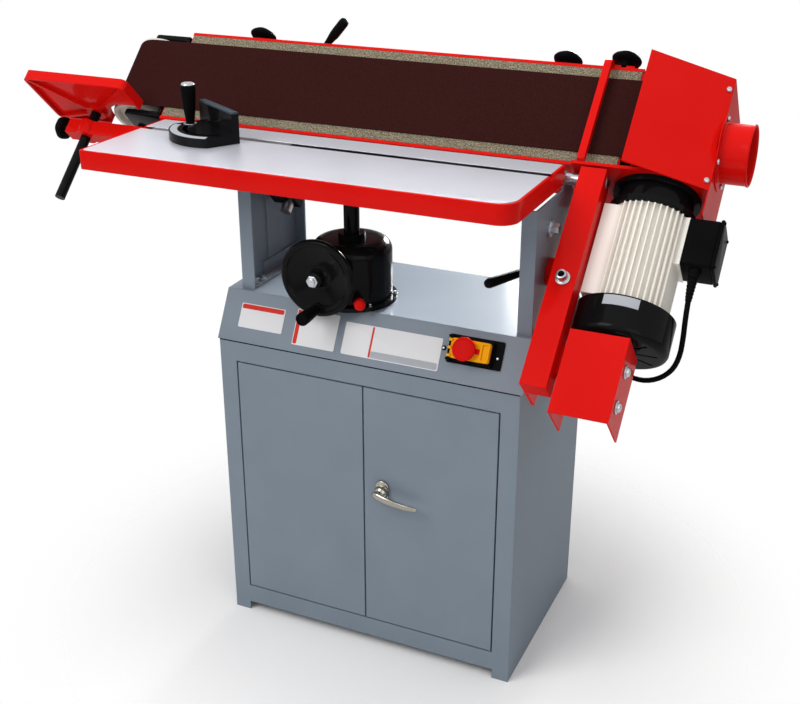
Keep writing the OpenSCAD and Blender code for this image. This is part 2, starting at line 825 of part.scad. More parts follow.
module switch_base() on_slope() color(paint_black) difference() {
    union() {
        linear_extrude(switch_base_t) round_plate(switch_w, switch_l, edge_r);
        translate([switch_in, edge_r, 0]) linear_extrude(switch_base_t + switch_body_t)
            round_plate(switch_body_w, switch_l - 2 * edge_r, edge_r);
        for (y = [edge_r, switch_l - edge_r - lid_ear])
            block([lid_pin_x - lid_ear, y, 0], [lid_pin_x + lid_ear, y + lid_ear, lid_pin_n + lid_ear]);
        bar_y([lid_pin_x, edge_r, lid_pin_n], switch_l - 2 * edge_r, lid_pin_d);
    }
    for (x = [button_left, button_right]) translate([x, button_s, -over])
        cylinder(h = switch_base_t + switch_body_t + 2 * over, d = button_d + 2 * fit);
}

module push_button(x) on_slope()
    translate([x, button_s, steel])
    cylinder(h = switch_base_t + switch_body_t + button_top - steel, d = button_d);

module start_button() color(button_green) push_button(button_right);

module stop_button() color(paint_red) push_button(button_left);

module switch_lid() on_slope() color(switch_yellow) difference() {
    translate([lid_x0, edge_r + lid_ear + slip, switch_base_t + switch_body_t + lid_gap])
        linear_extrude(lid_t) round_plate(lid_w, switch_l - 2 * edge_r - 2 * lid_ear - 2 * slip, edge_r);
    bar_y([lid_pin_x, 0, lid_pin_n], switch_l, lid_pin_d + 2 * fit);
    translate([button_left, button_s, 0]) cylinder(h = 2 * lid_pin_n, d = mush_rod + 2 * fit);
}

module stop_mushroom() on_slope() color(paint_red) {
    low = switch_base_t + switch_body_t + lid_gap + steel / 2;
    top = switch_base_t + switch_body_t + lid_gap + lid_t + mush_gap;
    translate([button_left, button_s, low]) cylinder(h = top - low + over, d = mush_rod);
    translate([button_left, button_s, top]) cylinder(h = mush_h, d1 = mush_d, d2 = mush_d * 3 / 4);
}

// Tilt shaft, beam and left arm: the frame that leans
shaft_end = 12;
hub_r = 14;
module tilt_shaft() in_head() color(bare_steel)
    bar_x([left_x - shaft_end, 0, 0], beam_x1 + over - left_x + shaft_end, shaft_d);

block_y0 = 10;
block_y1 = 46;
block_z0 = -100;
block_z1 = -25;
beam_lip = 42;
module tilt_beam() in_head() color(paint_red) difference() {
    union() {
        difference() {
            block([beam_x0, beam_y0, beam_z0], [beam_x1, beam_y1, beam_z1]);
            block([beam_x0 + beam_t, beam_y0 + beam_lip, beam_z0 - over],
                [beam_x1 + over, beam_y1 + over, beam_z1 + over]);
            block([beam_x0 + beam_t, beam_y0 + beam_t, beam_z0 + beam_t],
                [beam_x1 - beam_t, beam_y1 + over, beam_z1 + over]);
        }
        block([beam_x0 + over, block_y0, block_z0], [beam_x1 - over, block_y1, block_z1]);
    }
    bar_x([beam_x0 - over, 0, 0], beam_w + 2 * over, shaft_d);
    bar_z([rod_right_x, rod_y, block_z0 - over], block_z1 - block_z0 + 2 * over, rod_d + 2 * fit);
}

arm_air = 1;
arm_x0 = left_x + ear_t + arm_air;
arm_t = 10;
arm_y1 = 38;
block_l = 36;
module tilt_arm() in_head() color(paint_black) difference() {
    union() {
        block([arm_x0, -ear_r, block_z0], [arm_x0 + arm_t, arm_y1, 0]);
        bar_x([arm_x0, 0, 0], arm_t, 2 * hub_r);
        block([arm_x0, block_y0, block_z0], [rod_left_x, arm_y1, block_z1]);
        block([rod_left_x - block_l / 2, block_y0, block_z0], [rod_left_x + block_l / 2, block_y1, block_z1]);
    }
    bar_x([arm_x0 - over, 0, 0], arm_t + 2 * over, shaft_d);
    bar_z([rod_left_x, rod_y, block_z0 - over], block_z1 - block_z0 + 2 * over, rod_d + 2 * fit);
}

// Tilt clamp: red boss with its stud through the arc slot, and the lever inside the channel
boss_air = 0.5;
clamp_boss_d = 48;
stud_in = 34;
module clamp_boss() in_head() color(paint_red) {
    bar_x([right_x + boss_air, stud_y, stud_z], beam_gap - boss_air, clamp_boss_d);
    bar_x([right_x - stud_in, stud_y, stud_z], stud_in + beam_gap, stud_d);
}

clamp_hub_d = 26;
clamp_hub_l = 26;
clamp_arm_l = 104;
clamp_arm_d = 13;
clamp_tip_d = 17;
clamp_drop = 40;
clamp_splay = -30;
module clamp_lever() in_head() color(paint_black) difference() {
    union() {
        bar_x([right_x - upright_t - boss_air - clamp_hub_l, stud_y, stud_z], clamp_hub_l, clamp_hub_d);
        translate([right_x - upright_t - clamp_hub_l, stud_y, stud_z]) rotate([clamp_drop, 0, clamp_splay]) {
            rotate([90, 0, 0]) cylinder(h = clamp_arm_l, d1 = clamp_arm_d, d2 = clamp_tip_d);
            translate([0, -clamp_arm_l, 0]) sphere(d = clamp_tip_d);
        }
    }
    bar_x([right_x - stud_in - over, stud_y, stud_z], stud_in + over, stud_d + 2 * fit);
}

// Crank guard with the yoke that the crank pin works in
guard_off = 12;
guard_w = 96;
guard_d = 90;
guard_x0 = beam_x1 + guard_off;
guard_x1 = guard_x0 + guard_w;
guard_t = 3;
guard_y1 = guard_y0 + guard_d;
crank_off = 17;
crank_down = 40;
crank_x = drive_x - crank_off;
crank_z = cover_z - crank_down;
throw = 5;
crank_pin_d = 10;
yoke_air = 1;
yoke_half = crank_pin_d / 2 + throw + stroke + yoke_air;
yoke_t = 6;
yoke_y1 = 12;
yoke_w = 32;
tab_h = 24;
module crank_guard() in_head() color(paint_red) {
    difference() {
        block([guard_x0, guard_y0, guard_z0], [guard_x1, guard_y1, guard_z1]);
        block([guard_x0 + guard_t, guard_y0 + guard_t, guard_z0 - over],
            [guard_x1 - guard_t, guard_y1 + over, guard_z1 + over]);
    }
    for (z = [guard_z1 - 2 * tab_h, guard_z0 + 3 * tab_h])
        block([beam_x1, guard_y0 + tab_h, z], [guard_x0 + over, guard_y0 + 2 * tab_h, z + tab_h]);
    for (z = [crank_z + yoke_half, crank_z - yoke_half - yoke_t])
        block([crank_x - yoke_w / 2, guard_y0 + over, z], [crank_x + yoke_w / 2, yoke_y1, z + yoke_t]);
}

worm_w = 52;
worm_l = 64;
worm_left = 38;
worm_wall = 4;
worm_h = 72;
worm_z0 = cover_z - worm_h;
crank_shaft_d = 12;
crank_y0 = 18;
crank_t = 8;
crank_d = 36;
worm_y0 = drum_y - worm_w / 2;
module worm_box() in_head() color(paint_black) difference() {
    translate([drive_x - worm_left, worm_y0, worm_z0]) cube([worm_l, worm_w, cover_z - worm_z0]);
    translate([drive_x - worm_left + worm_wall, worm_y0 + worm_wall, worm_z0 + worm_wall])
        cube([worm_l - 2 * worm_wall, worm_w - 2 * worm_wall, cover_z - worm_z0 - 2 * worm_wall]);
    bar_z([drive_x, drum_y, cover_z - 2 * worm_wall], 3 * worm_wall, rotor_d / 2 + 2 * fit);
    bar_y([crank_x, worm_y0 - over, crank_z], 2 * worm_wall, crank_shaft_d + 2 * fit);
}

worm_wheel_d = 19;
pin_y0 = 2;
module crank_disc() in_head() color(bare_steel) {
    bar_y([crank_x, crank_y0, crank_z], worm_y0 + worm_w - 3 * worm_wall - crank_y0, crank_shaft_d);
    bar_y([crank_x, crank_y0, crank_z], crank_t, crank_d);
    bar_y([crank_x, drum_y - steel, crank_z], 2 * steel, worm_wheel_d);
    bar_y([crank_x + throw, pin_y0, crank_z], crank_y0, crank_pin_d);
}

// Platen channel with the motor plate, the slide blocks and the arm for the small table
plate_back = 143;
plate_front = -20;
plate_left = 75;
plate_x0 = frame_x1 - plate_left;
plate_x1 = drive_x + hood_past_l - sheet - slip;
hood_air = 6;
plate_hole = 60;
slide_h = 24;
slide_y0 = 48;
slide_block_w = 20;
slide_blocks = [75, 155];
aux_arm_y0 = 8;
aux_arm_w = 30;
aux_arm_z0 = -23;
aux_arm_h = 30;
aux_arm_z1 = aux_arm_z0 + aux_arm_h;
aux_arm_in = 30;
aux_out = 90;
aux_x = idler_x - aux_out;
aux_y = aux_arm_y0 + aux_arm_w / 2;
aux_arm_end = 43;
post_d = 20;
knob_screw_d = 8;
strap_in = 71;
strap_x = frame_x1 - strap_in;
tension_in = 273;
tension_x = frame_x0 + tension_in;
tension_y = 30;
tension_pin_d = 12;
strap_knob_in = 38;
strap_knob_x = frame_x1 - strap_knob_in;
strap_knob_y = 6;
cover_left_in = 146;
cover_right_in = 144;
cover_x_left = frame_x0 + cover_left_in;
cover_x_right = frame_x1 - cover_right_in;
cover_y = 8;
module knob_bores() {
    for (p = [
        [strap_knob_x, strap_knob_y], [cover_x_left, cover_y + flange_t],
        [cover_x_right, cover_y + flange_t]])
        bar_z([p[0], p[1], frame_z1 - 2 * flange_t], 4 * flange_t, knob_screw_d + 2 * fit);
    bar_z([tension_x, tension_y, frame_z1 - 2 * flange_t], 4 * flange_t, tension_pin_d + 2 * fit);
}

module platen_frame() in_head() color(paint_red) {
    difference() {
        union() {
            block([frame_x0, web_y, frame_z0], [frame_x1, web_y + web_t, frame_z1]);
            for (z = [frame_z0, frame_z1 - flange_t])
                block([frame_x0, pad_y, z], [frame_x1, frame_y1, z + flange_t]);
            for (x = slide_blocks)
                block([frame_x0 + x, web_y, belt_mid_z - slide_h],
                    [frame_x0 + x + slide_block_w, slide_y0 + 2 * slide_h, belt_mid_z + slide_h]);
        }
        for (x = slide_blocks)
            block([frame_x0 + x - over, slide_y0 - slip, belt_mid_z - slide_h / 2 - slip],
                [frame_x0 + x + slide_block_w + over, slide_y0 + slide_h + slip,
                    belt_mid_z + slide_h / 2 + slip]);
        knob_bores();
    }
    difference() {
        translate([0, 0, motor_z]) linear_extrude(motor_plate_t - fit) intersection() {
            translate([plate_x0, plate_front]) square([plate_x1 - plate_x0, plate_back - plate_front]);
            polygon([
                [plate_x0, hood_front + hood_air], [drive_x - hood_before_l, hood_front + hood_air],
                [drive_x + hood_past_l, hood_nose + hood_air], [drive_x + hood_past_l, plate_back],
                [plate_x0, plate_back]]);
        }
        bar_z([drive_x, drum_y, motor_z - over], motor_plate_t + 2 * over, plate_hole);
    }
    small_arm();
}

// The arm under the channel's left end that holds the small table's post
module small_arm() difference() {
    union() {
        block([aux_x - aux_arm_end, aux_arm_y0, aux_arm_z0],
            [frame_x0 + aux_arm_in, aux_arm_y0 + aux_arm_w, aux_arm_z1]);
        block([frame_x0, aux_arm_y0, aux_arm_z0],
            [frame_x0 + aux_arm_in, aux_arm_y0 + aux_arm_w, frame_z0 - fit]);
        bar_z([aux_x, aux_y, aux_arm_z0], aux_arm_h, 2 * post_d + steel);
    }
    bar_z([aux_x, aux_y, aux_arm_z0 - over], aux_arm_h + 2 * over, post_d + 2 * fit);
    bar_x([aux_x - 2 * post_d - steel, aux_y, aux_arm_z0 + aux_arm_h / 2], 2 * post_d,
        knob_screw_d + 2 * fit);
}

module platen_pad() in_head() color(graphite_gold)
    block([frame_x0 + edge_r, pad_y, belt_mid_z - pad_h / 2],
        [frame_x1 - edge_r, web_y, belt_mid_z + pad_h / 2]);

module belt_loop(r) {
    translate([idler_x, drum_y - r]) square([drum_span, 2 * r]);
    for (x = [idler_x, drive_x]) translate([x, drum_y]) circle(r, $fn = 96);
}

module sanding_belt() in_head() color(belt_brown) translate([0, 0, belt_low]) linear_extrude(belt_w)
    difference() {
        belt_loop(wrap_r);
        belt_loop(wrap_r - belt_t);
    }

rod_z0 = -120;
module guide_rods() in_head() color(bare_steel) {
    bar_z([rod_left_x, rod_y, rod_z0], frame_z0 - rod_z0, rod_d);
    bar_z([rod_right_x, rod_y, rod_z0], motor_z - rod_z0, rod_d);
}

// Stop strap across the belt at the right end
strap_w = 21;
strap_y = -25;
strap_leg = 12;
strap_arm_in = 19;
strap_arm_x = frame_x1 - strap_arm_in;
strap_arm_y = 16;
module stop_strap() in_head() color(paint_red) difference() {
    union() {
        block([strap_x, strap_y, frame_z0], [strap_x + strap_w, strap_y + steel, frame_z1 + steel]);
        block([strap_x + strap_w - steel, strap_y, frame_z0],
            [strap_x + strap_w, strap_y + strap_leg, frame_z1 + steel]);
        block([strap_x, strap_y, frame_z0], [strap_x + strap_w, pad_y - over, frame_z0 + steel]);
        block([strap_x, strap_y, frame_z1], [strap_x + strap_w, strap_arm_y, frame_z1 + steel]);
        block([strap_x, pad_y, frame_z1], [strap_arm_x, strap_arm_y, frame_z1 + steel]);
    }
    knob_bores();
}

// Star knobs on the top flange
top_knob_d = 52;
top_knob_h = 24;
screw_in = 14;
module top_knob(x, y, z) in_head() color(paint_black) translate([x, y, z + slip]) {
    star_knob(top_knob_d, top_knob_h);
    translate([0, 0, -screw_in]) cylinder(h = screw_in + over, d = knob_screw_d);
}

module strap_knob() top_knob(strap_knob_x, strap_knob_y, frame_z1 + steel);

module cover_knob_left() top_knob(cover_x_left, cover_y + flange_t, frame_z1);

module cover_knob_right() top_knob(cover_x_right, cover_y + flange_t, frame_z1);

// Belt tension: quick lever, sliding fork and idler drum
tension_hub_d = 34;
tension_hub_h = 15;
tension_arm_l = 74;
tension_rise = 24;
tension_turn = -42;
tension_arm_d = 15;
tension_grip_d = 19;
module tension_lever() in_head() color(paint_black) translate([tension_x, tension_y, frame_z1 + slip]) {
    cylinder(h = tension_hub_h, d = tension_hub_d);
    translate([0, 0, -screw_in]) cylinder(h = screw_in + over, d = tension_pin_d);
    translate([0, 0, tension_hub_h / 2]) rotate([0, 0, tension_turn]) rotate([0, 90 - tension_rise, 0]) {
        cylinder(h = tension_arm_l, d = tension_arm_d);
        translate([0, 0, tension_arm_l / 2]) cylinder(h = tension_arm_l / 2, d = tension_grip_d);
        translate([0, 0, tension_arm_l]) sphere(d = tension_grip_d);
    }
}

fork_clear = 7;
fork_x1 = frame_x0 - fork_clear;
fork_plate_t = 6;
fork_y0 = 20;
fork_y1 = 100;
fork_arm_t = 10;
fork_air = 3;
axle_d = 20;
slide_l = 190;
fork_z0 = drum_z0 - fork_air - fork_arm_t;
fork_z1 = drum_z0 + drum_l + fork_air + fork_arm_t;
fork_nose = 14;
module idler_fork() in_head() color(paint_black) {
    block([fork_x1 - fork_plate_t, fork_y0, fork_z0], [fork_x1, fork_y1, fork_z1]);
    for (z = [fork_z0, fork_z1 - fork_arm_t])
        block([idler_x - fork_nose, fork_y0, z], [fork_x1, fork_y1, z + fork_arm_t]);
    block([fork_x1 - over, slide_y0, belt_mid_z - slide_h / 2],
        [fork_x1 + slide_l, slide_y0 + slide_h, belt_mid_z + slide_h / 2]);
    bar_z([idler_x, drum_y, fork_z0 - steel], fork_z1 - fork_z0 + 2 * steel, axle_d);
}

drum_recess = 12;
drum_rim = 8;
module drum_solid(bore) difference() {
    cylinder(h = drum_l, d = drum_d);
    translate([0, 0, -over]) cylinder(h = drum_l + 2 * over, d = bore);
    for (z = [-over, drum_l - drum_recess]) translate([0, 0, z]) difference() {
        cylinder(h = drum_recess + over, d = drum_d - 2 * drum_rim);
        translate([0, 0, -over]) cylinder(h = drum_recess + 3 * over, d = 2 * axle_d);
    }
}

module idler_drum() in_head() color(bare_steel)
    translate([idler_x, drum_y, drum_z0]) drum_solid(axle_d + 2 * fit);

module drive_drum() in_head() color(paint_black) translate([drive_x, drum_y, drum_z0]) drum_solid(rotor_d);

// Motor: rotor with fan and worm, finned body, end shield, fan cover, terminal box
rotor_d = 28;
core_d = 88;
core_l = 130;
fan_d = 130;
fan_hub = 40;
fan_blades = 8;
blade_h = 34;
rotor_tail = 62;
rotor_low = cover_z - rotor_tail;
module motor_rotor() in_head() color(bare_steel) translate([drive_x, drum_y, 0]) {
    bar_z([0, 0, body_z - steel], drum_z0 + drum_l - body_z, rotor_d);
    bar_z([0, 0, rotor_low], body_z - rotor_low, rotor_d / 2);
    bar_z([0, 0, body_z + 2 * drum_recess], core_l, core_d);
    bar_z([0, 0, body_z - blade_h - 2 * steel], blade_h, fan_hub);
    for (i = [0 : fan_blades - 1]) rotate(i * 360 / fan_blades)
        block([fan_hub / 2 - over, -over, body_z - blade_h - 2 * steel],
            [fan_d / 2, over, body_z - 2 * steel]);
}

fin_count = 44;
fin_t = 2.2;
fin_core = 132;
bore_d = 94;
pad_half = 34;
pad_out = 70;
box_h = 88;
foot_air = 3;
foot_x = beam_x1 + foot_air;
foot_in = 6;
foot_half = 54;
module motor_body() in_head() color(cast_silver) translate([drive_x, drum_y, body_z]) difference() {
    union() {
        cylinder(h = motor_l, d = fin_core);
        for (i = [0 : fin_count - 1])
            let (turn = (i + 1 / 2) * 360 / fin_count, half = cos(turn) < 0 ? foot_half : pad_half)
            if (abs(sin(turn)) * fin_core / 2 > half + fin_t)
                rotate(turn) translate([bore_d / 2, -fin_t / 2, edge_r])
                cube([(motor_d - bore_d) / 2, fin_t, motor_l - 2 * edge_r]);
        translate([0, -pad_half, motor_l - box_h]) cube([pad_out, 2 * pad_half, box_h - edge_r]);
        block([foot_x - drive_x, -foot_half, foot_in], [0, foot_half, motor_l - foot_in]);
    }
    translate([0, 0, -over]) cylinder(h = motor_l + 2 * over, d = bore_d);
    translate([pad_out, -motor_d, -over]) cube([motor_d, 2 * motor_d, motor_l + 2 * over]);
}

shield_lip = 10;
module end_shield() in_head() color(paint_black) translate([drive_x, drum_y, shield_z]) difference() {
    union() {
        cylinder(h = shield_h, d = motor_d - 2 * shield_lip);
        cylinder(h = shield_lip, d = motor_d);
        translate([0, 0, shield_h - shield_lip]) cylinder(h = shield_lip, d = motor_d);
    }
    translate([0, 0, -over]) cylinder(h = shield_h + 2 * over, d = rotor_d + 2 * fit);
    translate([0, 0, -over]) cylinder(h = shield_h - shield_lip, d = bore_d);
}

cover_t = 2.5;
cover_edge = 12;
vent_rings = 10;
vent_w = 5;
vent_in = 26;
vent_out = 66;
module fan_cover() in_head() color(paint_black) translate([drive_x, drum_y, cover_z]) difference() {
    rotate_extrude() difference() {
        cover_profile(0);
        translate([0, cover_t]) cover_profile(cover_t);
    }
    translate([0, 0, -over]) cylinder(h = cover_t + 2 * over, d = rotor_d / 2 + steel);
    for (i = [0 : vent_rings - 1]) rotate(i * 360 / vent_rings)
        translate([vent_in, -vent_w / 2, -over]) cube([vent_out - vent_in, vent_w, cover_t + 2 * over]);
}

module cover_profile(inset) intersection() {
    r = cover_d / 2 - inset;
    e = cover_edge;
    union() {
        translate([0, e]) square([r, cover_h - e]);
        square([r - e, e + over]);
        translate([r - e, e]) circle(e);
    }
    square([cover_d, cover_h]);
}

box_out = 56;
box_y0 = 22;
box_y1 = 92;
box_z1 = body_z + motor_l - edge_r;
box_z0 = body_z + motor_l - box_h;
lid_lip = 3;
box_gland_out = 94;
box_gland_x = drive_x + box_gland_out;
box_gland_y = 40;
box_gland_d = 20;
box_gland_l = 17;
module terminal_box() in_head() color(paint_black) difference() {
    union() {
        block([drive_x + pad_out, box_y0, box_z0], [drive_x + pad_out + box_out, box_y1, box_z1]);
        block([drive_x + pad_out + box_out - 2 * lid_lip, box_y0 - lid_lip, box_z0 - lid_lip],
            [drive_x + pad_out + box_out, box_y1 + lid_lip, box_z1 + lid_lip]);
        bar_z([box_gland_x, box_gland_y, box_z0 - box_gland_l], box_gland_l + over, box_gland_d);
    }
    bar_z([box_gland_x, box_gland_y, box_z0 - box_gland_l - over], 2 * box_gland_l, cable_d);
}

// Dust hood round the drive end, and its port
hood_before_l = 46;
hood_front = -55;
hood_nose = 12;
skirt = 45;
lip_w = 14;
port_z = 112;
port_y = 55;
port_wall = 2.5;
port_flange = 14;
module hood_plan(t) polygon([
    [drive_x - hood_before_l - (t > 0 ? over : 0), hood_front + t * 2],
    [drive_x + hood_past_l - t, hood_nose + t / 2],
    [drive_x + hood_past_l - t, hood_y1 - t], [drive_x - hood_before_l - (t > 0 ? over : 0), hood_y1 - t]]);

module dust_hood() in_head() color(paint_red) difference() {
    union() {
        translate([0, 0, hood_z0]) linear_extrude(hood_h) difference() {
            hood_plan(0);
            hood_plan(sheet);
        }
        translate([0, 0, hood_z0 + hood_h - sheet]) linear_extrude(sheet) hood_plan(0);
        block([drive_x + hood_past_l - sheet, hood_nose, hood_z0 - skirt],
            [drive_x + hood_past_l, hood_y1, hood_z0 + over]);
    }
    bar_x([drive_x + hood_past_l - 2 * sheet, port_y, port_z], 3 * sheet, port_d - 2 * port_wall);
}

module dust_port() in_head() color(paint_red) difference() {
    union() {
        bar_x([drive_x + hood_past_l, port_y, port_z], port_l, port_d);
        bar_x([drive_x + hood_past_l, port_y, port_z], sheet, port_d + 2 * port_flange);
    }
    bar_x([drive_x + hood_past_l - over, port_y, port_z], port_l + 2 * over, port_d - 2 * port_wall);
}

// Screws of the head, the leaning frame and the stand
screw_d = 10;
small_d = 8;
module head_screws() in_head() color(bare_steel) {
    hood_turn = atan2(hood_nose - hood_front, hood_before_l + hood_past_l);
    for (z = [hood_z0 + 2 * small_d, hood_z0 + hood_h - 3 * small_d])
        translate([drive_x + hood_past_l, hood_nose, z]) rotate(hood_turn) translate([-small_d, 0])
        rotate([90, 0, 0]) hex_head(small_d);
    ring_r = (port_d + port_flange) / 2;
    for (a = [45 : 90 : 359]) rotate([0, 90, 0])
        translate([-port_z - ring_r * sin(a), port_y + ring_r * cos(a), drive_x + hood_past_l + sheet])
        hex_head(small_d);
}

beam_bolt_z = -193;
module tilt_screws() in_head() color(bare_steel) {
    translate([rod_right_x, beam_y0, beam_bolt_z]) rotate([90, 0, 0]) hex_head(2 * screw_d);
    for (z = [guard_z0 + guard_h / 4, guard_z1 - guard_h / 3])
        translate([guard_x1, guard_y0 + tab_h, z]) rotate([0, 90, 0]) hex_head(screw_d * 3 / 2);
}

star_y = 122;
star_up = 170;
star_z = console_z + star_up;
foot_screw_x = 15;
foot_screw_y = 22;
module base_fasteners() in_frame() color(bare_steel) {
    hinge_pin_places() bar_z([0, 0, -pin_l / 2], pin_l, pin_d);
    translate([right_x, star_y, star_z]) rotate([0, 90, 0]) hex_head(2 * screw_d);
    for (y = [upright_y + foot_screw_y, upright_y + 2 * foot_screw_y])
        for (x = [left_x + foot_screw_x, right_x - foot_screw_x])
            translate([x, y, console_z + upright_t]) hex_head(screw_d);
    for (a = [20 : 60 : 359])
        translate([pot_x + (pot_d + pot_flange_d) / 4 * cos(a), pot_y + (pot_d + pot_flange_d) / 4 * sin(a),
            console_z + pot_flange_t]) hex_head(small_d * 2 / 3);
}

// Small table round the idler drum, on its own post
aux_t = 13;
aux_up = 15;
aux_z0 = frame_z0 + aux_up;
aux_w = 240;
aux_front = -85;
aux_back = 56;
aux_notch = 72;
aux_rib_h = 14;
post_low = -162;
module aux_post() in_head() color(paint_black)
    bar_z([aux_x, aux_y, post_low], aux_z0 - post_low, post_d);

module aux_plan() translate([idler_x - aux_reach, aux_front])
    round_plate(aux_w, aux_back - aux_front, 2 * corner_left_r);

module aux_table() in_head() color(paint_red) difference() {
    union() {
        translate([0, 0, aux_z0]) linear_extrude(aux_t) aux_plan();
        translate([0, 0, aux_z0 - aux_rib_h / 2]) linear_extrude(aux_rib_h) difference() {
            aux_plan();
            translate([idler_x - aux_reach + rim_t, aux_front + rim_t])
                round_plate(aux_w - 2 * rim_t, aux_back - aux_front - 2 * rim_t, corner_left_r);
        }
        translate([0, 0, aux_z0 - aux_rib_h / 2]) linear_extrude(aux_rib_h) intersection() {
            aux_plan();
            union() {
                translate([aux_x, aux_y]) circle(post_d);
                for (p = [[0, 0], [aux_w, 0], [0, aux_back - aux_front]])
                    slot_cut([aux_x, aux_y], [idler_x - aux_reach, aux_front] + p, rib_t);
            }
        }
    }
    bar_z([idler_x, drum_y, aux_z0 - aux_rib_h], aux_t + 2 * aux_rib_h, 2 * aux_notch);
    block([idler_x, drum_y - aux_notch, aux_z0 - aux_rib_h],
        [idler_x + aux_w, drum_y + aux_notch, aux_z0 + aux_t + aux_rib_h]);
    bar_z([aux_x, aux_y, aux_z0 - aux_rib_h], aux_rib_h, post_d + 2 * fit);
}

aux_knob_d = 46;
aux_knob_h = 30;
module aux_knob() in_head() color(paint_black)
    translate([aux_x - aux_arm_end - slip, aux_y, aux_arm_z0 + aux_arm_h / 2]) rotate([0, -90, 0]) {
        star_knob(aux_knob_d, aux_knob_h);
        translate([0, 0, -aux_arm_end + post_d / 2 + edge_r])
            cylinder(h = aux_arm_end - post_d / 2 - edge_r + over, d = knob_screw_d);
    }

// Motor cable from the terminal box to the console, hanging behind the crank guard
cable_sides = 10;
cable_steps = 3;
function head_point(x, y, z) = [
    x, pivot_y + z * sin(head_tilt) + y * cos(head_tilt), pivot_z + z * cos(head_tilt) - y * sin(head_tilt)];

cable_from = head_point(box_gland_x, box_gland_y, box_z0 - box_gland_l - slip);
cable_to = [console_x0 + console_l + gland_l + slip, gland_y, gland_z];
cable_leave = [
    [0, 0, 0], [0.4, -20, -26.4], [0.9, -32.2, -57.1], [0.7, -35.1, -90.1], [-3.1, -30.3, -122.6],
    [-14.4, -21.4, -152.4], [-35.4, -11.5, -175.9]];
cable_join = [
    [149.7, -53.6, -33.9], [119.2, -41.1, -36.5], [89.5, -28.3, -29.5], [61, -16, -17.9], [32, -5, -5.9],
    [0, 0, 0]];
cable_route = concat([for (p = cable_leave) cable_from + p], [for (p = cable_join) cable_to + p]);
cable_spans = len(cable_route) - 1;

function curve_point(p, i, t) =
    let (n = len(p) - 1, a = p[max(i - 1, 0)], b = p[i], c = p[min(i + 1, n)], d = p[min(i + 2, n)])
    (2 * b + (c - a) * t + (2 * a - 5 * b + 4 * c - d) * t * t + (3 * b - a - 3 * c + d) * t * t * t) / 2;

cable_line = concat(
    [for (i = [0 : cable_spans - 1], k = [0 : cable_steps - 1]) curve_point(cable_route, i, k / cable_steps)],
    [cable_route[cable_spans]]);

function unit(v) = v / norm(v);

function heading(p, i) = unit(p[min(i + 1, len(p) - 1)] - p[max(i - 1, 0)]);

function ring(p, i) =
    let (t = heading(p, i), n = unit(cross(t, [0, 1, 0])), b = cross(t, n))
    [for (k = [0 : cable_sides - 1])
        p[i] + cable_d / 2 * (n * cos(k * 360 / cable_sides) + b * sin(k * 360 / cable_sides))];

module motor_cable() in_frame() color(paint_black) {
    rings = len(cable_line);
    points = [for (i = [0 : rings - 1]) each ring(cable_line, i)];
    sides = [for (i = [0 : rings - 2], k = [0 : cable_sides - 1])
        let (a = i * cable_sides + k, b = i * cable_sides + (k + 1) % cable_sides)
        each [[a, b, b + cable_sides], [a, b + cable_sides, a + cable_sides]]];
    caps = [[for (k = [cable_sides - 1 : -1 : 0]) k],
        [for (k = [0 : cable_sides - 1]) (rings - 1) * cable_sides + k]];
    polyhedron(points, concat(sides, caps));
}

cabinet();
console();
upright_left();
upright_right();
lift_pot();
base_fasteners();
switch_base();
cable_gland();
door_left();
door_right();
latch_handle();
switch_lid();
stop_mushroom();
start_button();
stop_button();
lift_column();
table_bracket();
handwheel();
pinion_shaft();
crank_grip();
column_lock();
table_frame();
table_top();
slot_bridges();
mitre_bar();
mitre_head();
mitre_knob();
tilt_shaft();
tilt_beam();
tilt_arm();
clamp_boss();
clamp_lever();
crank_guard();
tilt_screws();
worm_box();
crank_disc();
platen_frame();
platen_pad();
sanding_belt();
guide_rods();
stop_strap();
strap_knob();
cover_knob_left();
cover_knob_right();
tension_lever();
idler_fork();
idler_drum();
drive_drum();
motor_rotor();
motor_body();
end_shield();
fan_cover();
terminal_box();
dust_hood();
dust_port();
head_screws();
aux_post();
aux_table();
aux_knob();
motor_cable();
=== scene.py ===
"""Dresses the edge sander: finishes for every solid, finer pieces over the plain ones, camera and light."""

import logging
import math
from collections.abc import Iterable
from dataclasses import dataclass, replace
from enum import Enum
from functools import reduce

import bpy
import numpy as np
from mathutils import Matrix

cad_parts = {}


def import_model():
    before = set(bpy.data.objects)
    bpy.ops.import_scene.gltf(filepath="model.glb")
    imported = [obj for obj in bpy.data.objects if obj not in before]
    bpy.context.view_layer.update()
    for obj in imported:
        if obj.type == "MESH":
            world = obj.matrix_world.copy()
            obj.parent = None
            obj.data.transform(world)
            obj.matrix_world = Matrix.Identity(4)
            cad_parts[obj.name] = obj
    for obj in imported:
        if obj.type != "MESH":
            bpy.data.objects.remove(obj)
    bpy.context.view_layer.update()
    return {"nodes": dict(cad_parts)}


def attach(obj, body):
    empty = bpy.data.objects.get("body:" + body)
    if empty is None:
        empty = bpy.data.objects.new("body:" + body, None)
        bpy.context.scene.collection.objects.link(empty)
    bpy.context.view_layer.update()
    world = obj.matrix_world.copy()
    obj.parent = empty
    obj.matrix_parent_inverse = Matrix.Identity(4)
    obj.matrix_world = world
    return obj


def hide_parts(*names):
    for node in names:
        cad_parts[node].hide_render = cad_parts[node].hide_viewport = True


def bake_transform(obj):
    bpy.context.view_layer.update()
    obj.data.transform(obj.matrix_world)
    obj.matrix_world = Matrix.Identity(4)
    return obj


LOG = logging.getLogger("edge_sander")
MM = 0.001
# The row frame's origin in the maker's frame, whose corner is the cabinet's front left foot
ORIGIN = np.array([162.5, 178.97, 0.0])
PIVOT = np.array([0.0, 203.0, 904.0])
LEAN = math.radians(45)
# The console's sloping front rises 83 mm over a rake of 46 mm
SLOPE = math.atan2(83, 46)
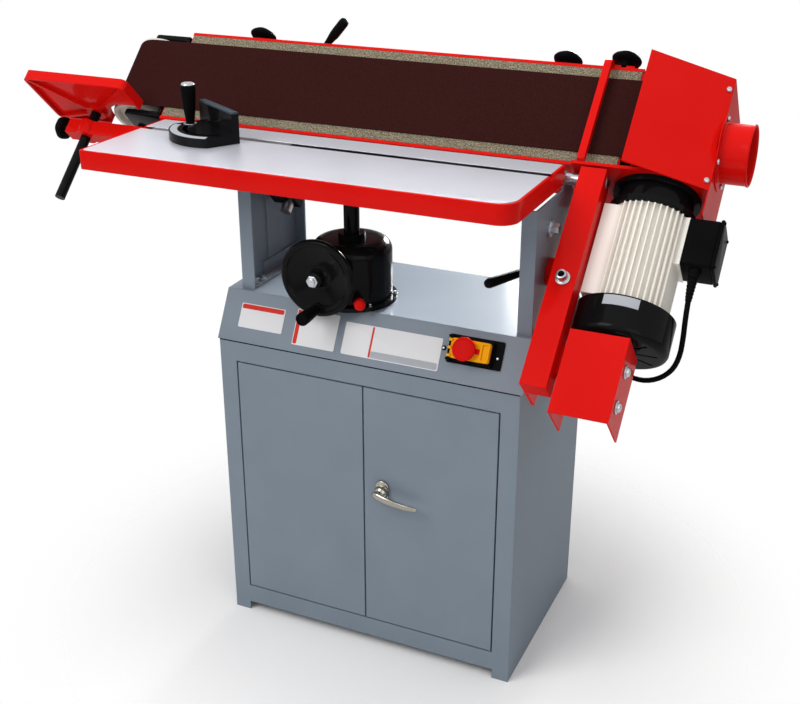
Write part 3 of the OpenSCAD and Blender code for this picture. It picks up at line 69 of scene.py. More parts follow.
# A point on the motor's axis in the head's frame, and the radius of its fins' roots and tips
AXLE = (721.0, 60.0, 0.0)
FINS = (66.5, 72.0)
# Height of the table's ground face
TABLE_TOP = 931.0
# Faces that meet at more than this keep a sharp edge between them
SHARP = math.radians(40)
# Radius that closes a pole, so that the last ring can be filled
POLE = 0.05
Points = np.ndarray
Vec = tuple[float, float, float]
Box = tuple[float, float, float, float]


def stand(points: Points) -> Points:
    """Moves points from the maker's frame, in mm, to the row frame, in metres.

    Args:
        points: An array whose last axis is x, y, z in mm from the cabinet's front left foot.

    Returns:
        The same points in the row frame.
    """
    return (np.asarray(points, float) - ORIGIN) * MM


def head(points: Points) -> Points:
    """Leans points of the belt head back about the tilt shaft.

    Args:
        points: An array whose last axis is x along the belt, y behind its face, z along the drums, in mm.

    Returns:
        The points in the row frame: y and z turned by the lean about the shaft, then moved.
    """
    p = np.asarray(points, float)
    c, s = math.cos(LEAN), math.sin(LEAN)
    turned = np.stack([p[..., 0], c * p[..., 1] + s * p[..., 2], c * p[..., 2] - s * p[..., 1]], -1)
    return stand(turned + PIVOT)


def unit(vectors: Points) -> Points:
    """Vectors of length one.

    Args:
        vectors: An array whose last axis is the vector.

    Returns:
        The vectors divided by their lengths.
    """
    v = np.asarray(vectors, float)
    return v / np.linalg.norm(v, axis=-1, keepdims=True)


@dataclass(frozen=True)
class Place:
    """A local frame: where a piece sits and how it is turned.

    Args:
        at: Its origin, mm.
        z: Direction of its z axis.
        x: Direction that its x axis is nearest to.
        leaning: Whether it is in the belt head's frame, which leans back.
    """

    at: Vec
    z: Vec = (0, 0, 1)
    x: Vec = (1, 0, 0)
    leaning: bool = False

    def axes(self) -> np.ndarray:
        """The three axes as rows."""
        z = unit(self.z)
        x = unit(np.array(self.x) - np.dot(self.x, z) * z)
        return np.stack([x, np.cross(z, x), z])

    def moved(self, x: float, y: float, z: float = 0) -> "Place":
        """The same frame moved by x, y and z mm along its own axes."""
        return replace(self, at=tuple(np.array(self.at) + np.array([x, y, z]) @ self.axes()))

    def put(self, points: Points) -> Points:
        """Takes local points, in mm, to the row frame, in metres."""
        p = np.asarray(points, float) @ self.axes() + np.array(self.at)
        return head(p) if self.leaning else stand(p)


def linear(code: str) -> tuple[float, float, float, float]:
    """Turns an sRGB hex colour into linear red, green, blue and full alpha.

    Args:
        code: Six hex digits after a hash sign.

    Returns:
        The linear colour.
    """
    v = np.array([int(code[i:i + 2], 16) for i in (1, 3, 5)]) / 255
    v = np.where(v <= 0.04045, v / 12.92, ((v + 0.055) / 1.055) ** 2.4)
    return (float(v[0]), float(v[1]), float(v[2]), 1.0)


def add(tree: bpy.types.NodeTree, kind: str, links: dict | None = None, **settings: object) -> bpy.types.Node:
    """Adds one shader node with its settings, values and links.

    Args:
        tree: The node tree.
        kind: The node's type name.
        links: Socket name or index to a value, or to another node's socket.
        settings: Attributes of the node.

    Returns:
        The new node.
    """
    n = tree.nodes.new(kind)
    for key, value in settings.items():
        setattr(n, key, value)
    for key, value in (links or {}).items():
        if isinstance(value, bpy.types.NodeSocket):
            tree.links.new(value, n.inputs[key])
        else:
            n.inputs[key].default_value = value
    return n


class Surface(Enum):
    """How a surface was made, which decides its pattern."""

    ENAMEL = "sprayed and baked enamel"
    MOULDED = "injection moulded"
    MACHINED = "turned or milled"
    GROUND = "ground flat"
    CAST = "die cast"
    FINNED = "die cast with fins"
    PLATED = "plated and polished"
    ABRASIVE = "coated cloth"
    CANVAS = "graphite on canvas"


# How far a surface is bare metal: wood dust dulls a ground table, so it mirrors less
METAL = {Surface.MACHINED: 1.0, Surface.PLATED: 1.0, Surface.GROUND: 0.6}
# Clear gloss on enamel, which shows mostly at a glance along the face
COAT = {"Coat Weight": 0.25, "Coat Roughness": 0.08, "Coat IOR": 1.3}
# Specular level of metal, and of all else
SHINE = (0.5, 0.01)
# Surfaces whose fine pattern is also one of colour
SPECKLED = (Surface.ABRASIVE, Surface.CANVAS)
# Broad patches of tone in a metre
PATCHES = 9.0
# Wheel marks run along the belt, so their pattern is drawn out along x
DRAWN_OUT = (0.02, 1, 1)
# Cosine from a face to its rounded edge where the painted edge highlight begins and where it is full, and the
# most that shows
EDGE_HIGHLIGHT = (0.985, 0.8, 0.35)
# Tone of the painted shade between fins, and of the painted shade on the edges under the table's face
SHADED, TABLE_SHADE = "#e4dfd5", "#1d1d20"
# Depth under the table's face where the painted shade begins and where it is full, mm
SHADE_DEPTH = (0.9, 1.6)


@dataclass(frozen=True)
class Finish:
    """A finish: what the surface is, its two tones and its gloss.

    Args:
        name: The finish's common name.
        surface: How it was made.
        colour: Main tone, sRGB hex.
        second: Tone that the pattern and the painted edge highlights drift to, sRGB hex.
        roughness: Middle roughness.
        grain_mm: Size of the fine pattern in mm.
        depth_mm: Height of the fine pattern in mm.
        edge_mm: Radius that edges catch the light with, in mm.
        slot: The record's material slot named for it; not used.
    """

    name: str
    surface: Surface
    colour: str
    second: str
    roughness: float
    grain_mm: float
    depth_mm: float
    edge_mm: float
    slot: str

    def tone(self, tree: bpy.types.NodeTree, place: bpy.types.NodeSocket, drift: bpy.types.NodeSocket,
             edge: bpy.types.NodeSocket) -> bpy.types.NodeSocket:
        """Adds the nodes of the colour.

        Args:
            tree: The material's nodes.
            place: Object coordinates.
            drift: Share of the second tone that the pattern brings.
            edge: The normal, rounded at edges.

        Returns:
            The colour.
        """
        layers = [(drift, self.second)]
        if self.surface not in SPECKLED:
            # Painted highlight along edges: where the rounded normal leaves the face's own, the tone drifts
            # to the second
            flat = add(tree, "ShaderNodeNewGeometry").outputs["True Normal"]
            same = add(tree, "ShaderNodeVectorMath", {0: edge, 1: flat}, operation="DOT_PRODUCT")
            edge_highlight = add(tree, "ShaderNodeMapRange", {
                "Value": same.outputs["Value"], "From Min": EDGE_HIGHLIGHT[0], "From Max": EDGE_HIGHLIGHT[1], "To Max": EDGE_HIGHLIGHT[2]})
            layers.append((edge_highlight.outputs[0], self.second))
        if self.surface is Surface.FINNED:
            # Painted shade, with some grime, between the fins: the tone darkens towards the motor's core
            off = add(tree, "ShaderNodeVectorMath", {
                0: place, 1: tuple(head(np.array(AXLE)))}, operation="SUBTRACT").outputs[0]
            off = add(tree, "ShaderNodeVectorMath", {
                0: off, 1: (0, math.sin(LEAN), math.cos(LEAN))}, operation="CROSS_PRODUCT").outputs[0]
            out = add(tree, "ShaderNodeVectorMath", {0: off}, operation="LENGTH").outputs["Value"]
            deep = add(tree, "ShaderNodeMapRange", {
                "Value": out, "From Min": FINS[1] * MM, "From Max": FINS[0] * MM})
            layers.append((deep.outputs[0], SHADED))
        if self.surface is Surface.GROUND:
            # Only the top is ground: below it the plates' edges are painted dark as shade, so the slot is a
            # dark line
            height = add(tree, "ShaderNodeSeparateXYZ", {0: place}).outputs["Z"]
            below = add(tree, "ShaderNodeMapRange", {
                "Value": height, "From Min": (TABLE_TOP - SHADE_DEPTH[0]) * MM,
                "From Max": (TABLE_TOP - SHADE_DEPTH[1]) * MM})
            layers.append((below.outputs[0], TABLE_SHADE))
        tone = linear(self.colour)
        for share, code in layers:
            tone = add(tree, "ShaderNodeMix", {
                "Factor": share, 6: tone, 7: linear(code)}, data_type="RGBA").outputs[2]
        return tone

    def material(self) -> bpy.types.Material:
        """Returns the finish's material, made once."""
        old = bpy.data.materials.get(self.name)
        if old:
            return old
        mat = bpy.data.materials.new(self.name)
        mat.use_nodes = True
        tree = mat.node_tree
        tree.nodes.clear()
        place = add(tree, "ShaderNodeTexCoord").outputs["Object"]
        fine_place = place
        if self.surface in (Surface.GROUND, Surface.MACHINED):
            fine_place = add(tree, "ShaderNodeMapping", {"Vector": place, "Scale": DRAWN_OUT}).outputs[0]
        broad = add(tree, "ShaderNodeTexNoise", {
            "Vector": place, "Scale": PATCHES, "Detail": 3.0}).outputs["Fac"]
        fine = add(tree, "ShaderNodeTexNoise", {
            "Vector": fine_place, "Scale": 1 / (self.grain_mm * MM), "Detail": 2.0}).outputs["Fac"]
        edge = add(tree, "ShaderNodeBevel", {"Radius": self.edge_mm * MM}, samples=4).outputs[0]
        # Grit and canvas are speckled all through; other surfaces only drift a little
        pattern, low, high, most = broad, 0.3, 0.75, 0.3
        if self.surface in SPECKLED:
            pattern, low, high, most = fine, 0.42, 0.62, 1.0
        drift = add(tree, "ShaderNodeMapRange", {
            "Value": pattern, "From Min": low, "From Max": high, "To Max": most}).outputs[0]
        # A ground face is even; the rest varies with handling
        vary = 0.03 if self.surface is Surface.GROUND else 0.15
        gloss = add(tree, "ShaderNodeMapRange", {
            "Value": broad, "From Min": 0.3, "From Max": 0.7, "To Min": self.roughness * (1 - vary),
            "To Max": min(1.0, self.roughness * (1 + vary))}).outputs[0]
        bump = add(tree, "ShaderNodeBump", {
            "Height": fine, "Distance": self.depth_mm * MM, "Strength": 1.0, "Normal": edge}).outputs[0]
        metal = METAL.get(self.surface, 0.0)
        shader = add(tree, "ShaderNodeBsdfPrincipled", {
            "Base Color": self.tone(tree, place, drift, edge), "Roughness": gloss, "Normal": bump,
            "Metallic": metal, "Specular IOR Level": SHINE[0] if metal else SHINE[1],
            **(COAT if self.surface is Surface.ENAMEL else {})})
        add(tree, "ShaderNodeOutputMaterial", {"Surface": shader.outputs[0]})
        return mat


# Stove enamel: smooth colour under a clear gloss, with a faint orange peel
RED = Finish("red_enamel", Surface.ENAMEL, "#d1100c", "#df211a", 0.32, 5, 0.012, 1.2, "red_paint")
GREY = Finish("grey_enamel", Surface.ENAMEL, "#7b8691", "#8b97a4", 0.42, 4, 0.015, 1.2, "grey_paint")
BLACK = Finish("black_enamel", Surface.ENAMEL, "#0d0d0e", "#1f2022", 0.22, 4, 0.012, 1.2, "black_paint")
# Phenolic and ABS mouldings: even colour with a soft sheen
PLASTIC = Finish("black_moulding", Surface.MOULDED, "#0c0c0d", "#1b1c1e", 0.3, 1.5, 0.01, 1.0,
                 "black_plastic")
YELLOW = Finish("yellow_moulding", Surface.MOULDED, "#eea30f", "#f7b83a", 0.35, 1.5, 0.008, 1.0,
                "yellow_plastic")
SIGNAL_RED = Finish("red_moulding", Surface.MOULDED, "#cf1614", "#de2f28", 0.3, 1.5, 0.008, 1.0,
                    "red_plastic")
GREEN = Finish("green_moulding", Surface.MOULDED, "#1f8a35", "#2f9c45", 0.35, 1.5, 0.008, 1.0,
               "green_plastic")
SHEATH = Finish("cable_sheath", Surface.MOULDED, "#0d0d0e", "#19191b", 0.5, 1.5, 0.02, 0.5, "rubber")
# Turned and milled steel: bright, with the marks of the tool that cut it
STEEL = Finish("bright_steel", Surface.MACHINED, "#b9bcc0", "#d4d6d9", 0.3, 0.8, 0.01, 0.8, "bare_steel")
# Ground cast iron: a pale, even face with fine wheel marks along it
GROUND = Finish("ground_table", Surface.GROUND, "#e3e4ee", "#eceef6", 0.36, 1.4, 0.006, 0.8, "ground_iron")
# Die-cast aluminium: pale and soft, with a faint grain
CAST = Finish("die_cast_aluminium", Surface.CAST, "#cfcac1", "#e2ddd4", 0.4, 2, 0.02, 0.8, "cast_aluminium")
FIN = Finish("finned_aluminium", Surface.FINNED, "#f6f2ea", "#fbf8f2", 0.4, 2, 0.02, 0.8, "cast_aluminium")
# Chrome plate: a smooth mirror whose tone is darkened and warmed as a painted reflection of its surroundings
CHROME = Finish("chrome_plate", Surface.PLATED, "#98948a", "#bdbab2", 0.1, 3, 0.002, 1.0, "chrome")
# Painted highlight along the fence's top: its black paint is drawn blue-grey there
FENCE_HIGHLIGHT = Finish("fence_highlight_black", Surface.MOULDED, "#3f474f", "#59626b", 0.3, 2, 0.01, 1.0, "black_paint")
# Vinyl stickers and an anodised plate, all bare: flat pale tone with a soft sheen
VINYL = Finish("pale_vinyl", Surface.MOULDED, "#dfdfe1", "#e8e8ea", 0.4, 1.5, 0.004, 0.3, "bare_steel")
VINYL_RED = Finish("red_vinyl", Surface.MOULDED, "#cf3a32", "#d84c43", 0.4, 1.5, 0.004, 0.3, "red_plastic")
VINYL_GREY = Finish("grey_vinyl", Surface.MOULDED, "#a9adb3", "#b6bac0", 0.4, 1.5, 0.004, 0.3, "bare_steel")
# Aluminium oxide grit on cloth, drawn coarser than its real grit so that it shows
BELT = Finish("brown_abrasive", Surface.ABRASIVE, "#2a1312", "#3a1d1b", 0.85, 1.2, 0.12, 1.0, "abrasive")
PAD = Finish("graphite_canvas", Surface.CANVAS, "#5a5446", "#9b907a", 0.6, 2.2, 0.15, 1.0, "graphite")

# The solids that show as they are, by finish
FINISHES: dict[Finish, str] = {
    RED: "tilt_beam clamp_boss crank_guard platen_frame dust_hood aux_table",
    GREY: "cabinet console upright_left upright_right door_left door_right",
    BLACK: "lift_pot lift_column table_bracket tilt_arm worm_box end_shield fan_cover mitre_head drive_drum "
           "aux_post",
    PLASTIC: "switch_base cable_gland",
    STEEL: "base_fasteners pinion_shaft slot_bridges mitre_bar tilt_shaft crank_disc guide_rods motor_rotor",
    GROUND: "table_top",
    CAST: "idler_drum",
    FIN: "motor_body",
    BELT: "sanding_belt",
    PAD: "platen_pad",
    SIGNAL_RED: "stop_button",
    GREEN: "start_button",
}


def grid_faces(rows: int, cols: int, loop: bool = False) -> np.ndarray:
    """Quads of a grid of points whose rows close on themselves.

    Args:
        rows: Number of point rows.
        cols: Number of points in a row.
        loop: Whether the last row also joins the first.

    Returns:
        One row of four point numbers per quad.
    """
    i, k = np.meshgrid(np.arange(rows if loop else rows - 1), np.arange(cols), indexing="ij")
    j, n = (k + 1) % cols, (i + 1) % rows
    return np.stack([i * cols + k, i * cols + j, n * cols + j, n * cols + k], -1).reshape(-1, 4)


@dataclass
class Shell:
    """Points and faces of one surface, gathered before they become a mesh.

    Args:
        points: Points in the row frame.
        faces: Faces as tuples of point numbers.
    """

    points: np.ndarray
    faces: list[tuple[int, ...]]

    @staticmethod
    def grid(points: np.ndarray, loop: bool = False) -> "Shell":
        """A closed shell from a grid of points whose rows run round it.

        Args:
            points: Array of rows, columns and x, y, z.
            loop: Whether the last row joins the first; otherwise both are filled.

        Returns:
            The shell.
        """
        rows, cols = points.shape[:2]
        faces = [tuple(f) for f in grid_faces(rows, cols, loop).tolist()]
        if not loop:
            faces.append(tuple(range(cols - 1, -1, -1)))
            faces.append(tuple(range((rows - 1) * cols, rows * cols)))
        return Shell(points.reshape(-1, 3), faces)

    def __add__(self, other: "Shell") -> "Shell":
        """Two shells as one."""
        shift = len(self.points)
        more = [tuple(i + shift for i in f) for f in other.faces]
        return Shell(np.vstack([self.points, other.points]), self.faces + more)

    def piece(self, name: str, body: str, finish: Finish, *nodes: str,
              bend: tuple[str, list[float], list[float]] | None = None) -> bpy.types.Object:
        """Makes the shell a piece that rides on a body, or, given a bend, one left where it stands on no
        body.

        Args:
            name: The piece's name.
            body: The body that it moves with.
            finish: Its finish.
            nodes: The solids that it stands for.
            bend: Whether to leave it where it stands; the other body and the ends given in it are not used.

        Returns:
            The object.
        """
        mesh = bpy.data.meshes.new(name)
        mesh.from_pydata(self.points.tolist(), [], self.faces)
        mesh.polygons.foreach_set("use_smooth", np.ones(len(mesh.polygons), bool))
        mesh.set_sharp_from_angle(angle=SHARP)
        mesh.materials.append(finish.material())
        mesh.validate()
        obj = bpy.data.objects.new(name, mesh)
        bpy.context.scene.collection.objects.link(obj)
        if bend:
            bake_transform(obj)
        else:
            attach(obj, body)
        if nodes:
            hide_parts(*nodes)
        LOG.info("piece %s on %s", name, body)
        return obj


def joined(shells: Iterable[Shell]) -> Shell:
    """Several shells as one.

    Args:
        shells: The shells.

    Returns:
        Their sum, in order.
    """
    return reduce(Shell.__add__, shells)


def circle(sides: int) -> np.ndarray:
    """A unit circle.

    Args:
        sides: Number of points.

    Returns:
        Points in the plane, counter-clockwise.
    """
    turn = np.linspace(0, 2 * np.pi, sides, endpoint=False)
    return np.stack([np.cos(turn), np.sin(turn)], -1)


def rounded(line: Points, radius: float | Points, steps: int = 5, closed: bool = False) -> np.ndarray:
    """Rounds a line's corners: each becomes the arc that touches both of its sides.

    The arc is the rational quadratic curve between the two touching points, weighted by the cosine of half
    the turn, and the radius shrinks where a side is too short.

    Args:
        line: Points in the plane or in space.
        radius: Radius of all corners, or of each.
        steps: Points on each arc.
        closed: Whether the last point joins the first.

    Returns:
        The rounded line.
    """
    p = np.asarray(line, float)
    back, on = np.roll(p, 1, 0) - p, np.roll(p, -1, 0) - p
    short = 0.49 * np.minimum(np.linalg.norm(back, axis=1), np.linalg.norm(on, axis=1))
    back, on = unit(back), unit(on)
    half = (np.pi - np.arccos(np.clip((back * on).sum(1), -1, 1))) / 2
    cut = np.minimum(np.asarray(radius) * np.tan(half), short)[:, None]
    t = np.linspace(0, 1, steps)[None, :, None]
    a, b = (p + back * cut)[:, None], (p + on * cut)[:, None]
    mid = np.cos(half)[:, None, None] * 2 * t * (1 - t)
    arcs = ((1 - t) ** 2 * a + mid * p[:, None] + t ** 2 * b) / ((1 - t) ** 2 + mid + t ** 2)
    if closed:
        return arcs.reshape(-1, p.shape[1])
    return np.vstack([p[:1], arcs[1:-1].reshape(-1, p.shape[1]), p[-1:]])


def panel(x0: float, y0: float, x1: float, y1: float, radius: float) -> np.ndarray:
    """A rectangle with rounded corners.

    Args:
        x0: Left.
        y0: Bottom.
        x1: Right.
        y1: Top.
        radius: Corner radius.

    Returns:
        Its outline, counter-clockwise.
    """
    return rounded([(x0, y0), (x1, y0), (x1, y1), (x0, y1)], radius, closed=True)


def lathe(place: Place, profile: Points, soft: float = 0.6, sides: int = 56, lobes: int = 0,
          depth: float = 0.0, loop: bool = False) -> Shell:
    """A profile turned about z: the point at angle t is radius times cos t and sin t, at its height.

    With lobes the radius is also times 1 plus depth, by the square of its share of the greatest radius, by
    the cosine of the lobes' angle.

    Args:
        place: Its frame.
        profile: Radius and height pairs, from the bottom outwards and up.
        soft: Radius of the profile's corners.
        sides: Points round it.
        lobes: Number of soft lobes.
        depth: How far lobes stand out, as a share.
        loop: Whether the profile closes on itself, as a tube's does.

    Returns:
        The shell.
    """
    p = rounded(profile, soft, closed=loop)
    r, h = p[:, :1], p[:, 1:]
    c = circle(sides)
    turn = np.arctan2(c[:, 1], c[:, 0])[None]
    r = r * (1 + depth * (r / r.max()) ** 2 * np.cos(lobes * turn))
    points = np.stack([r * c[None, :, 0], r * c[None, :, 1], np.broadcast_to(h, r.shape)], -1)
    return Shell.grid(place.put(points), loop)


def prism(place: Place, outline: Points, low: float, high: float, edge: float = 0.5) -> Shell:
    """An outline carried along z with rounded rims.

    Near each end it draws in along its normals, as a quarter circle does.

    Args:
        place: Its frame.
        outline: Counter-clockwise outline.
        low: Lowest z.
        high: Highest z.
        edge: Radius of both rims, which have four rings each.

    Returns:
        The shell.
    """
    o = np.asarray(outline, float)
    ahead = unit(np.roll(o, -1, 0) - np.roll(o, 1, 0))
    out = np.stack([ahead[:, 1], -ahead[:, 0]], -1)
    q = np.linspace(0, np.pi / 2, 4)
    draw = edge * np.concatenate([1 - np.sin(q), 1 - np.sin(q[::-1])])
    z = np.concatenate([low + edge * (1 - np.cos(q)), high - edge * (1 - np.cos(q[::-1]))])
    flat = o[None] - draw[:, None, None] * out[None]
    points = np.concatenate([flat, np.broadcast_to(z[:, None, None], flat.shape[:2] + (1,))], -1)
    return Shell.grid(place.put(points))


def slab(place: Place, a: Vec, b: Vec, edge: float = 0.5, corner: float = 0.5) -> Shell:
    """A block between two corners with rounded edges.

    Args:
        place: Its frame.
        a: Lowest corner.
        b: Highest corner.
        edge: Radius of its top and bottom edges.
        corner: Radius of its upright edges.

    Returns:
        The shell.
    """
    return prism(place, panel(a[0], a[1], b[0], b[1], corner), a[2], b[2], edge)


def carried(line: Points, section: Points, scale: float | Points = 1.0, side: Vec = (0, 0, 1)) -> np.ndarray:
    """A section carried along a line, standing square to it.

    Args:
        line: Points of the line.
        section: Section outline, counter-clockwise.
        scale: Size of the section, or one for each point of the line.
        side: Direction that the section's second axis keeps nearest to.

    Returns:
        Grid of points, one row for each point of the line.
    """
    p = np.asarray(line, float)
    ahead = unit(np.gradient(p, axis=0))
    u = unit(np.cross(side, ahead))
    v = np.cross(ahead, u)
    s = np.broadcast_to(np.asarray(scale, float), (len(p),))[:, None, None]
    return p[:, None] + s * (section[None, :, :1] * u[:, None] + section[None, :, 1:] * v[:, None])


def pan_head(place: Place, r: float) -> Shell:
    """A pan-head screw standing on z = 0.

    Args:
        place: Its frame.
        r: Radius of the head.

    Returns:
        The shell.
    """
    shape = np.array([[POLE, 0], [1, 0], [1, 0.3], [0.8, 0.65], [0.4, 0.8], [POLE, 0.82]])
    return lathe(place, shape * r, r / 8, 24)


WORLD = Place((0, 0, 0))
HEAD = Place((0, 0, 0), leaning=True)


@dataclass
class View:
    """The photograph's viewpoint, floor and studio light.

    Args:
        eye: Camera place in the maker's frame, mm.
        turn: Camera heading to the left of straight on, degrees.
        drop: Camera pitch below level, degrees.
        lens: Focal length for a 36 mm sensor.
        sky: Strength of the light from all round.
        middle: The cabinet's middle on the floor, metres.
        shade: Where the floor's shade begins to fade and where it ends, metres from the middle.
        reach: How far the floor goes to each side, metres.
    """

    eye: Vec = (1140.2, -1710.8, 1462.7)
    turn: float = 24.456
    drop: float = 23.976
    lens: float = 54.37
    sky: float = 0.22
    middle: Vec = (0.13, 0.005, 0)
    shade: tuple[float, float] = (0.35, 0.85)
    reach: float = 14.0

    def camera(self) -> None:
        """Sets the camera."""
        data = bpy.data.cameras.new("photo_camera")
        data.lens = self.lens
        data.clip_end = 50
        cam = bpy.data.objects.new("photo_camera", data)
        cam.location = stand(np.array(self.eye))
        cam.rotation_euler = (math.radians(90 - self.drop), 0, math.radians(self.turn))
        bpy.context.scene.collection.objects.link(cam)
        bpy.context.scene.camera = cam

    def lamp(self, name: str, place: Vec, aim: Vec, size: float, power: float,
             spread: float = 180) -> bpy.types.Object:
        """Adds one soft square lamp.

        Args:
            name: The lamp's name.
            place: Where it hangs, metres.
            aim: The point it shines at, metres.
            size: Side of the square, metres.
            power: Watts.
            spread: Angle of its beam, degrees.

        Returns:
            The lamp.
        """
        data = bpy.data.lights.new(name, "AREA")
        data.spread = math.radians(spread)
        data.size = size
        data.energy = power
        obj = bpy.data.objects.new(name, data)
        obj.location = place
        away = np.array(place) - np.array(aim)
        flat = math.hypot(away[0], away[1])
        obj.rotation_euler = (math.atan2(flat, away[2]), 0, math.atan2(away[0], -away[1]))
        bpy.context.scene.collection.objects.link(obj)
        return obj

    def world(self) -> None:
        """Surrounds the object with soft light that the eye, mirrors and glass see as white."""
        world = bpy.data.worlds.new("studio")
        world.use_nodes = True
        tree = world.node_tree
        tree.nodes.clear()
        ray = add(tree, "ShaderNodeLightPath").outputs
        seen = add(tree, "ShaderNodeMath", {
            0: ray["Is Camera Ray"], 1: ray["Is Glossy Ray"]}, operation="ADD").outputs[0]
        seen = add(tree, "ShaderNodeMath", {0: seen, 1: ray["Is Transmission Ray"]}, operation="ADD",
                   use_clamp=True).outputs[0]
        strength = add(tree, "ShaderNodeMapRange", {
            "Value": seen, "To Min": self.sky, "To Max": 1.0}).outputs[0]
        back = add(tree, "ShaderNodeBackground", {"Color": (1, 1, 1, 1), "Strength": strength})
        add(tree, "ShaderNodeOutputWorld", {"Surface": back.outputs[0]})
        bpy.context.scene.world = world
        bpy.context.scene.view_settings.view_transform = "Standard"

    def studio(self) -> None:
        """Lights the object evenly over a plain pale floor."""
        self.world()
        self.lamp("key", (-1.4, -2.6, 3.2), (0, 0, 0.8), 2.2, 80)
        self.lamp("fill", (2.6, -2.4, 2.2), (0.2, 0, 0.7), 2.2, 16)
        # The broad top lamp would burn out the bright table if that mirrored it
        self.lamp("top", (0.2, 0.4, 3.6), (0, 0.1, 0.9), 4.0, 90).visible_glossy = False
        self.lamp("back", (0.05, 1.7, 1.25), (0.2, 0, 0.76), 0.6, 7, 30)
        square = np.array([(-1, -1, 0), (1, -1, 0), (1, 1, 0), (-1, 1, 0)]) * self.reach
        mesh = bpy.data.meshes.new("floor")
        mesh.from_pydata(square.tolist(), [], [(0, 1, 2, 3)])
        mat = bpy.data.materials.new("pale_floor")
        mat.use_nodes = True
        tree = mat.node_tree
        tree.nodes.clear()
        # The paper's shade shows round the feet, and further out the eye sees the white surround
        away = add(tree, "ShaderNodeVectorMath", {
            0: add(tree, "ShaderNodeTexCoord").outputs["Object"], 1: self.middle}, operation="DISTANCE")
        fade = add(tree, "ShaderNodeMapRange", {
            "Value": away.outputs["Value"], "From Min": self.shade[0], "From Max": self.shade[1]},
            interpolation_type="SMOOTHSTEP").outputs[0]
        eye = add(tree, "ShaderNodeLightPath").outputs["Is Camera Ray"]
        clear = add(tree, "ShaderNodeMath", {0: fade, 1: eye}, operation="MULTIPLY").outputs[0]
        paper = add(tree, "ShaderNodeBsdfDiffuse", {"Color": linear("#fdfdfd")}).outputs[0]
        gone = add(tree, "ShaderNodeBsdfTransparent").outputs[0]
        both = add(tree, "ShaderNodeMixShader", {"Fac": clear, 1: paper, 2: gone}).outputs[0]
        add(tree, "ShaderNodeOutputMaterial", {"Surface": both})
        mesh.materials.append(mat)
        floor = bpy.data.objects.new("floor", mesh)
        bpy.context.scene.collection.objects.link(floor)


@dataclass
class Cable:
    """Motor cable from the terminal box round to the console's right end.

    Args:
        route: Its points in the maker's frame, mm.
        diameter: Its diameter in mm.
        steps: Points drawn between two route points.
        sides: Points round it.
        bends: Numbers of the route points below the sleeve and at its lowest, handed on as the bend's ends,
            which are not used.
        boot: Length of the tapered sleeve at the motor.
        boot_r: Radius of the sleeve where it leaves the gland.
        wall: Thickness of the sleeve at its thin end.
        rings: Height and spacing of the sleeve's rings.
    """

    route: tuple[Vec, ...] = (
        (815, 137.03, 781.46), (815.4, 117.03, 755.06), (815.9, 104.83, 724.36), (815.7, 101.93, 691.36),
        (811.9, 106.73, 658.86), (800.6, 115.63, 629.06), (779.6, 125.53, 605.56), (752, 136.4, 591.1),
        (721.5, 148.9, 588.5), (691.8, 161.7, 595.5), (663.3, 174, 607.1), (634.3, 185, 619.1),
        (602.3, 190, 625))
    diameter: float = 9.0
    steps: int = 3
    sides: int = 16
    bends: tuple[int, int] = (1, 7)
    boot: float = 36.0
    boot_r: float = 8.0
    wall: float = 0.8
    rings: tuple[float, float] = (0.4, 6.0)

    def line(self) -> np.ndarray:
        """A smooth curve through the route: each span is the cubic that keeps to its neighbours' chords."""
        p = np.array(self.route, float)
        a, b, c, d = np.vstack([p[:1], p[:-2]]), p[:-1], p[1:], np.vstack([p[2:], p[-1:]])
        t = np.arange(self.steps)[None, :, None] / self.steps
        a, b, c, d = (v[:, None, :] for v in (a, b, c, d))
        spans = 2 * b + (c - a) * t + (2 * a - 5 * b + 4 * c - d) * t ** 2 + (3 * b - a - 3 * c + d) * t ** 3
        return np.vstack([spans.reshape(-1, 3) / 2, p[-1:]])

    def sleeve(self, line: np.ndarray) -> Shell:
        """A tapered, ringed sleeve: its radius falls evenly to the cable's while a cosine draws the rings.

        Args:
            line: The cable's points from the gland outwards.

        Returns:
            The shell.
        """
        along = np.concatenate([[0], np.cumsum(np.linalg.norm(np.diff(line, axis=0), axis=1))])
        t = np.linspace(0, self.boot, 49)
        path = np.stack([np.interp(t, along, line[:, k]) for k in range(3)], -1)
        fall = (self.diameter / 2 + self.wall - self.boot_r) * t / self.boot
        radius = self.boot_r + fall + self.rings[0] * np.cos(2 * np.pi * t / self.rings[1])
        return Shell.grid(stand(carried(path, circle(24), radius, (0, 1, 0))))

    def build(self) -> None:
        """Builds the cable, left where it stands on no body, and its sleeve, which rides on the head.
        """
        line = self.line()
        ring = carried(line, circle(self.sides), self.diameter / 2, (0, 1, 0))
        ends = [stand(np.array(self.route[i])).tolist() for i in self.bends]
        piece = Shell.grid(stand(ring)).piece(
            "motor_lead", "tilt", SHEATH, "motor_cable", bend=("base", *ends))
        self.sleeve(line).piece("motor_lead_sleeve", "head", SHEATH)


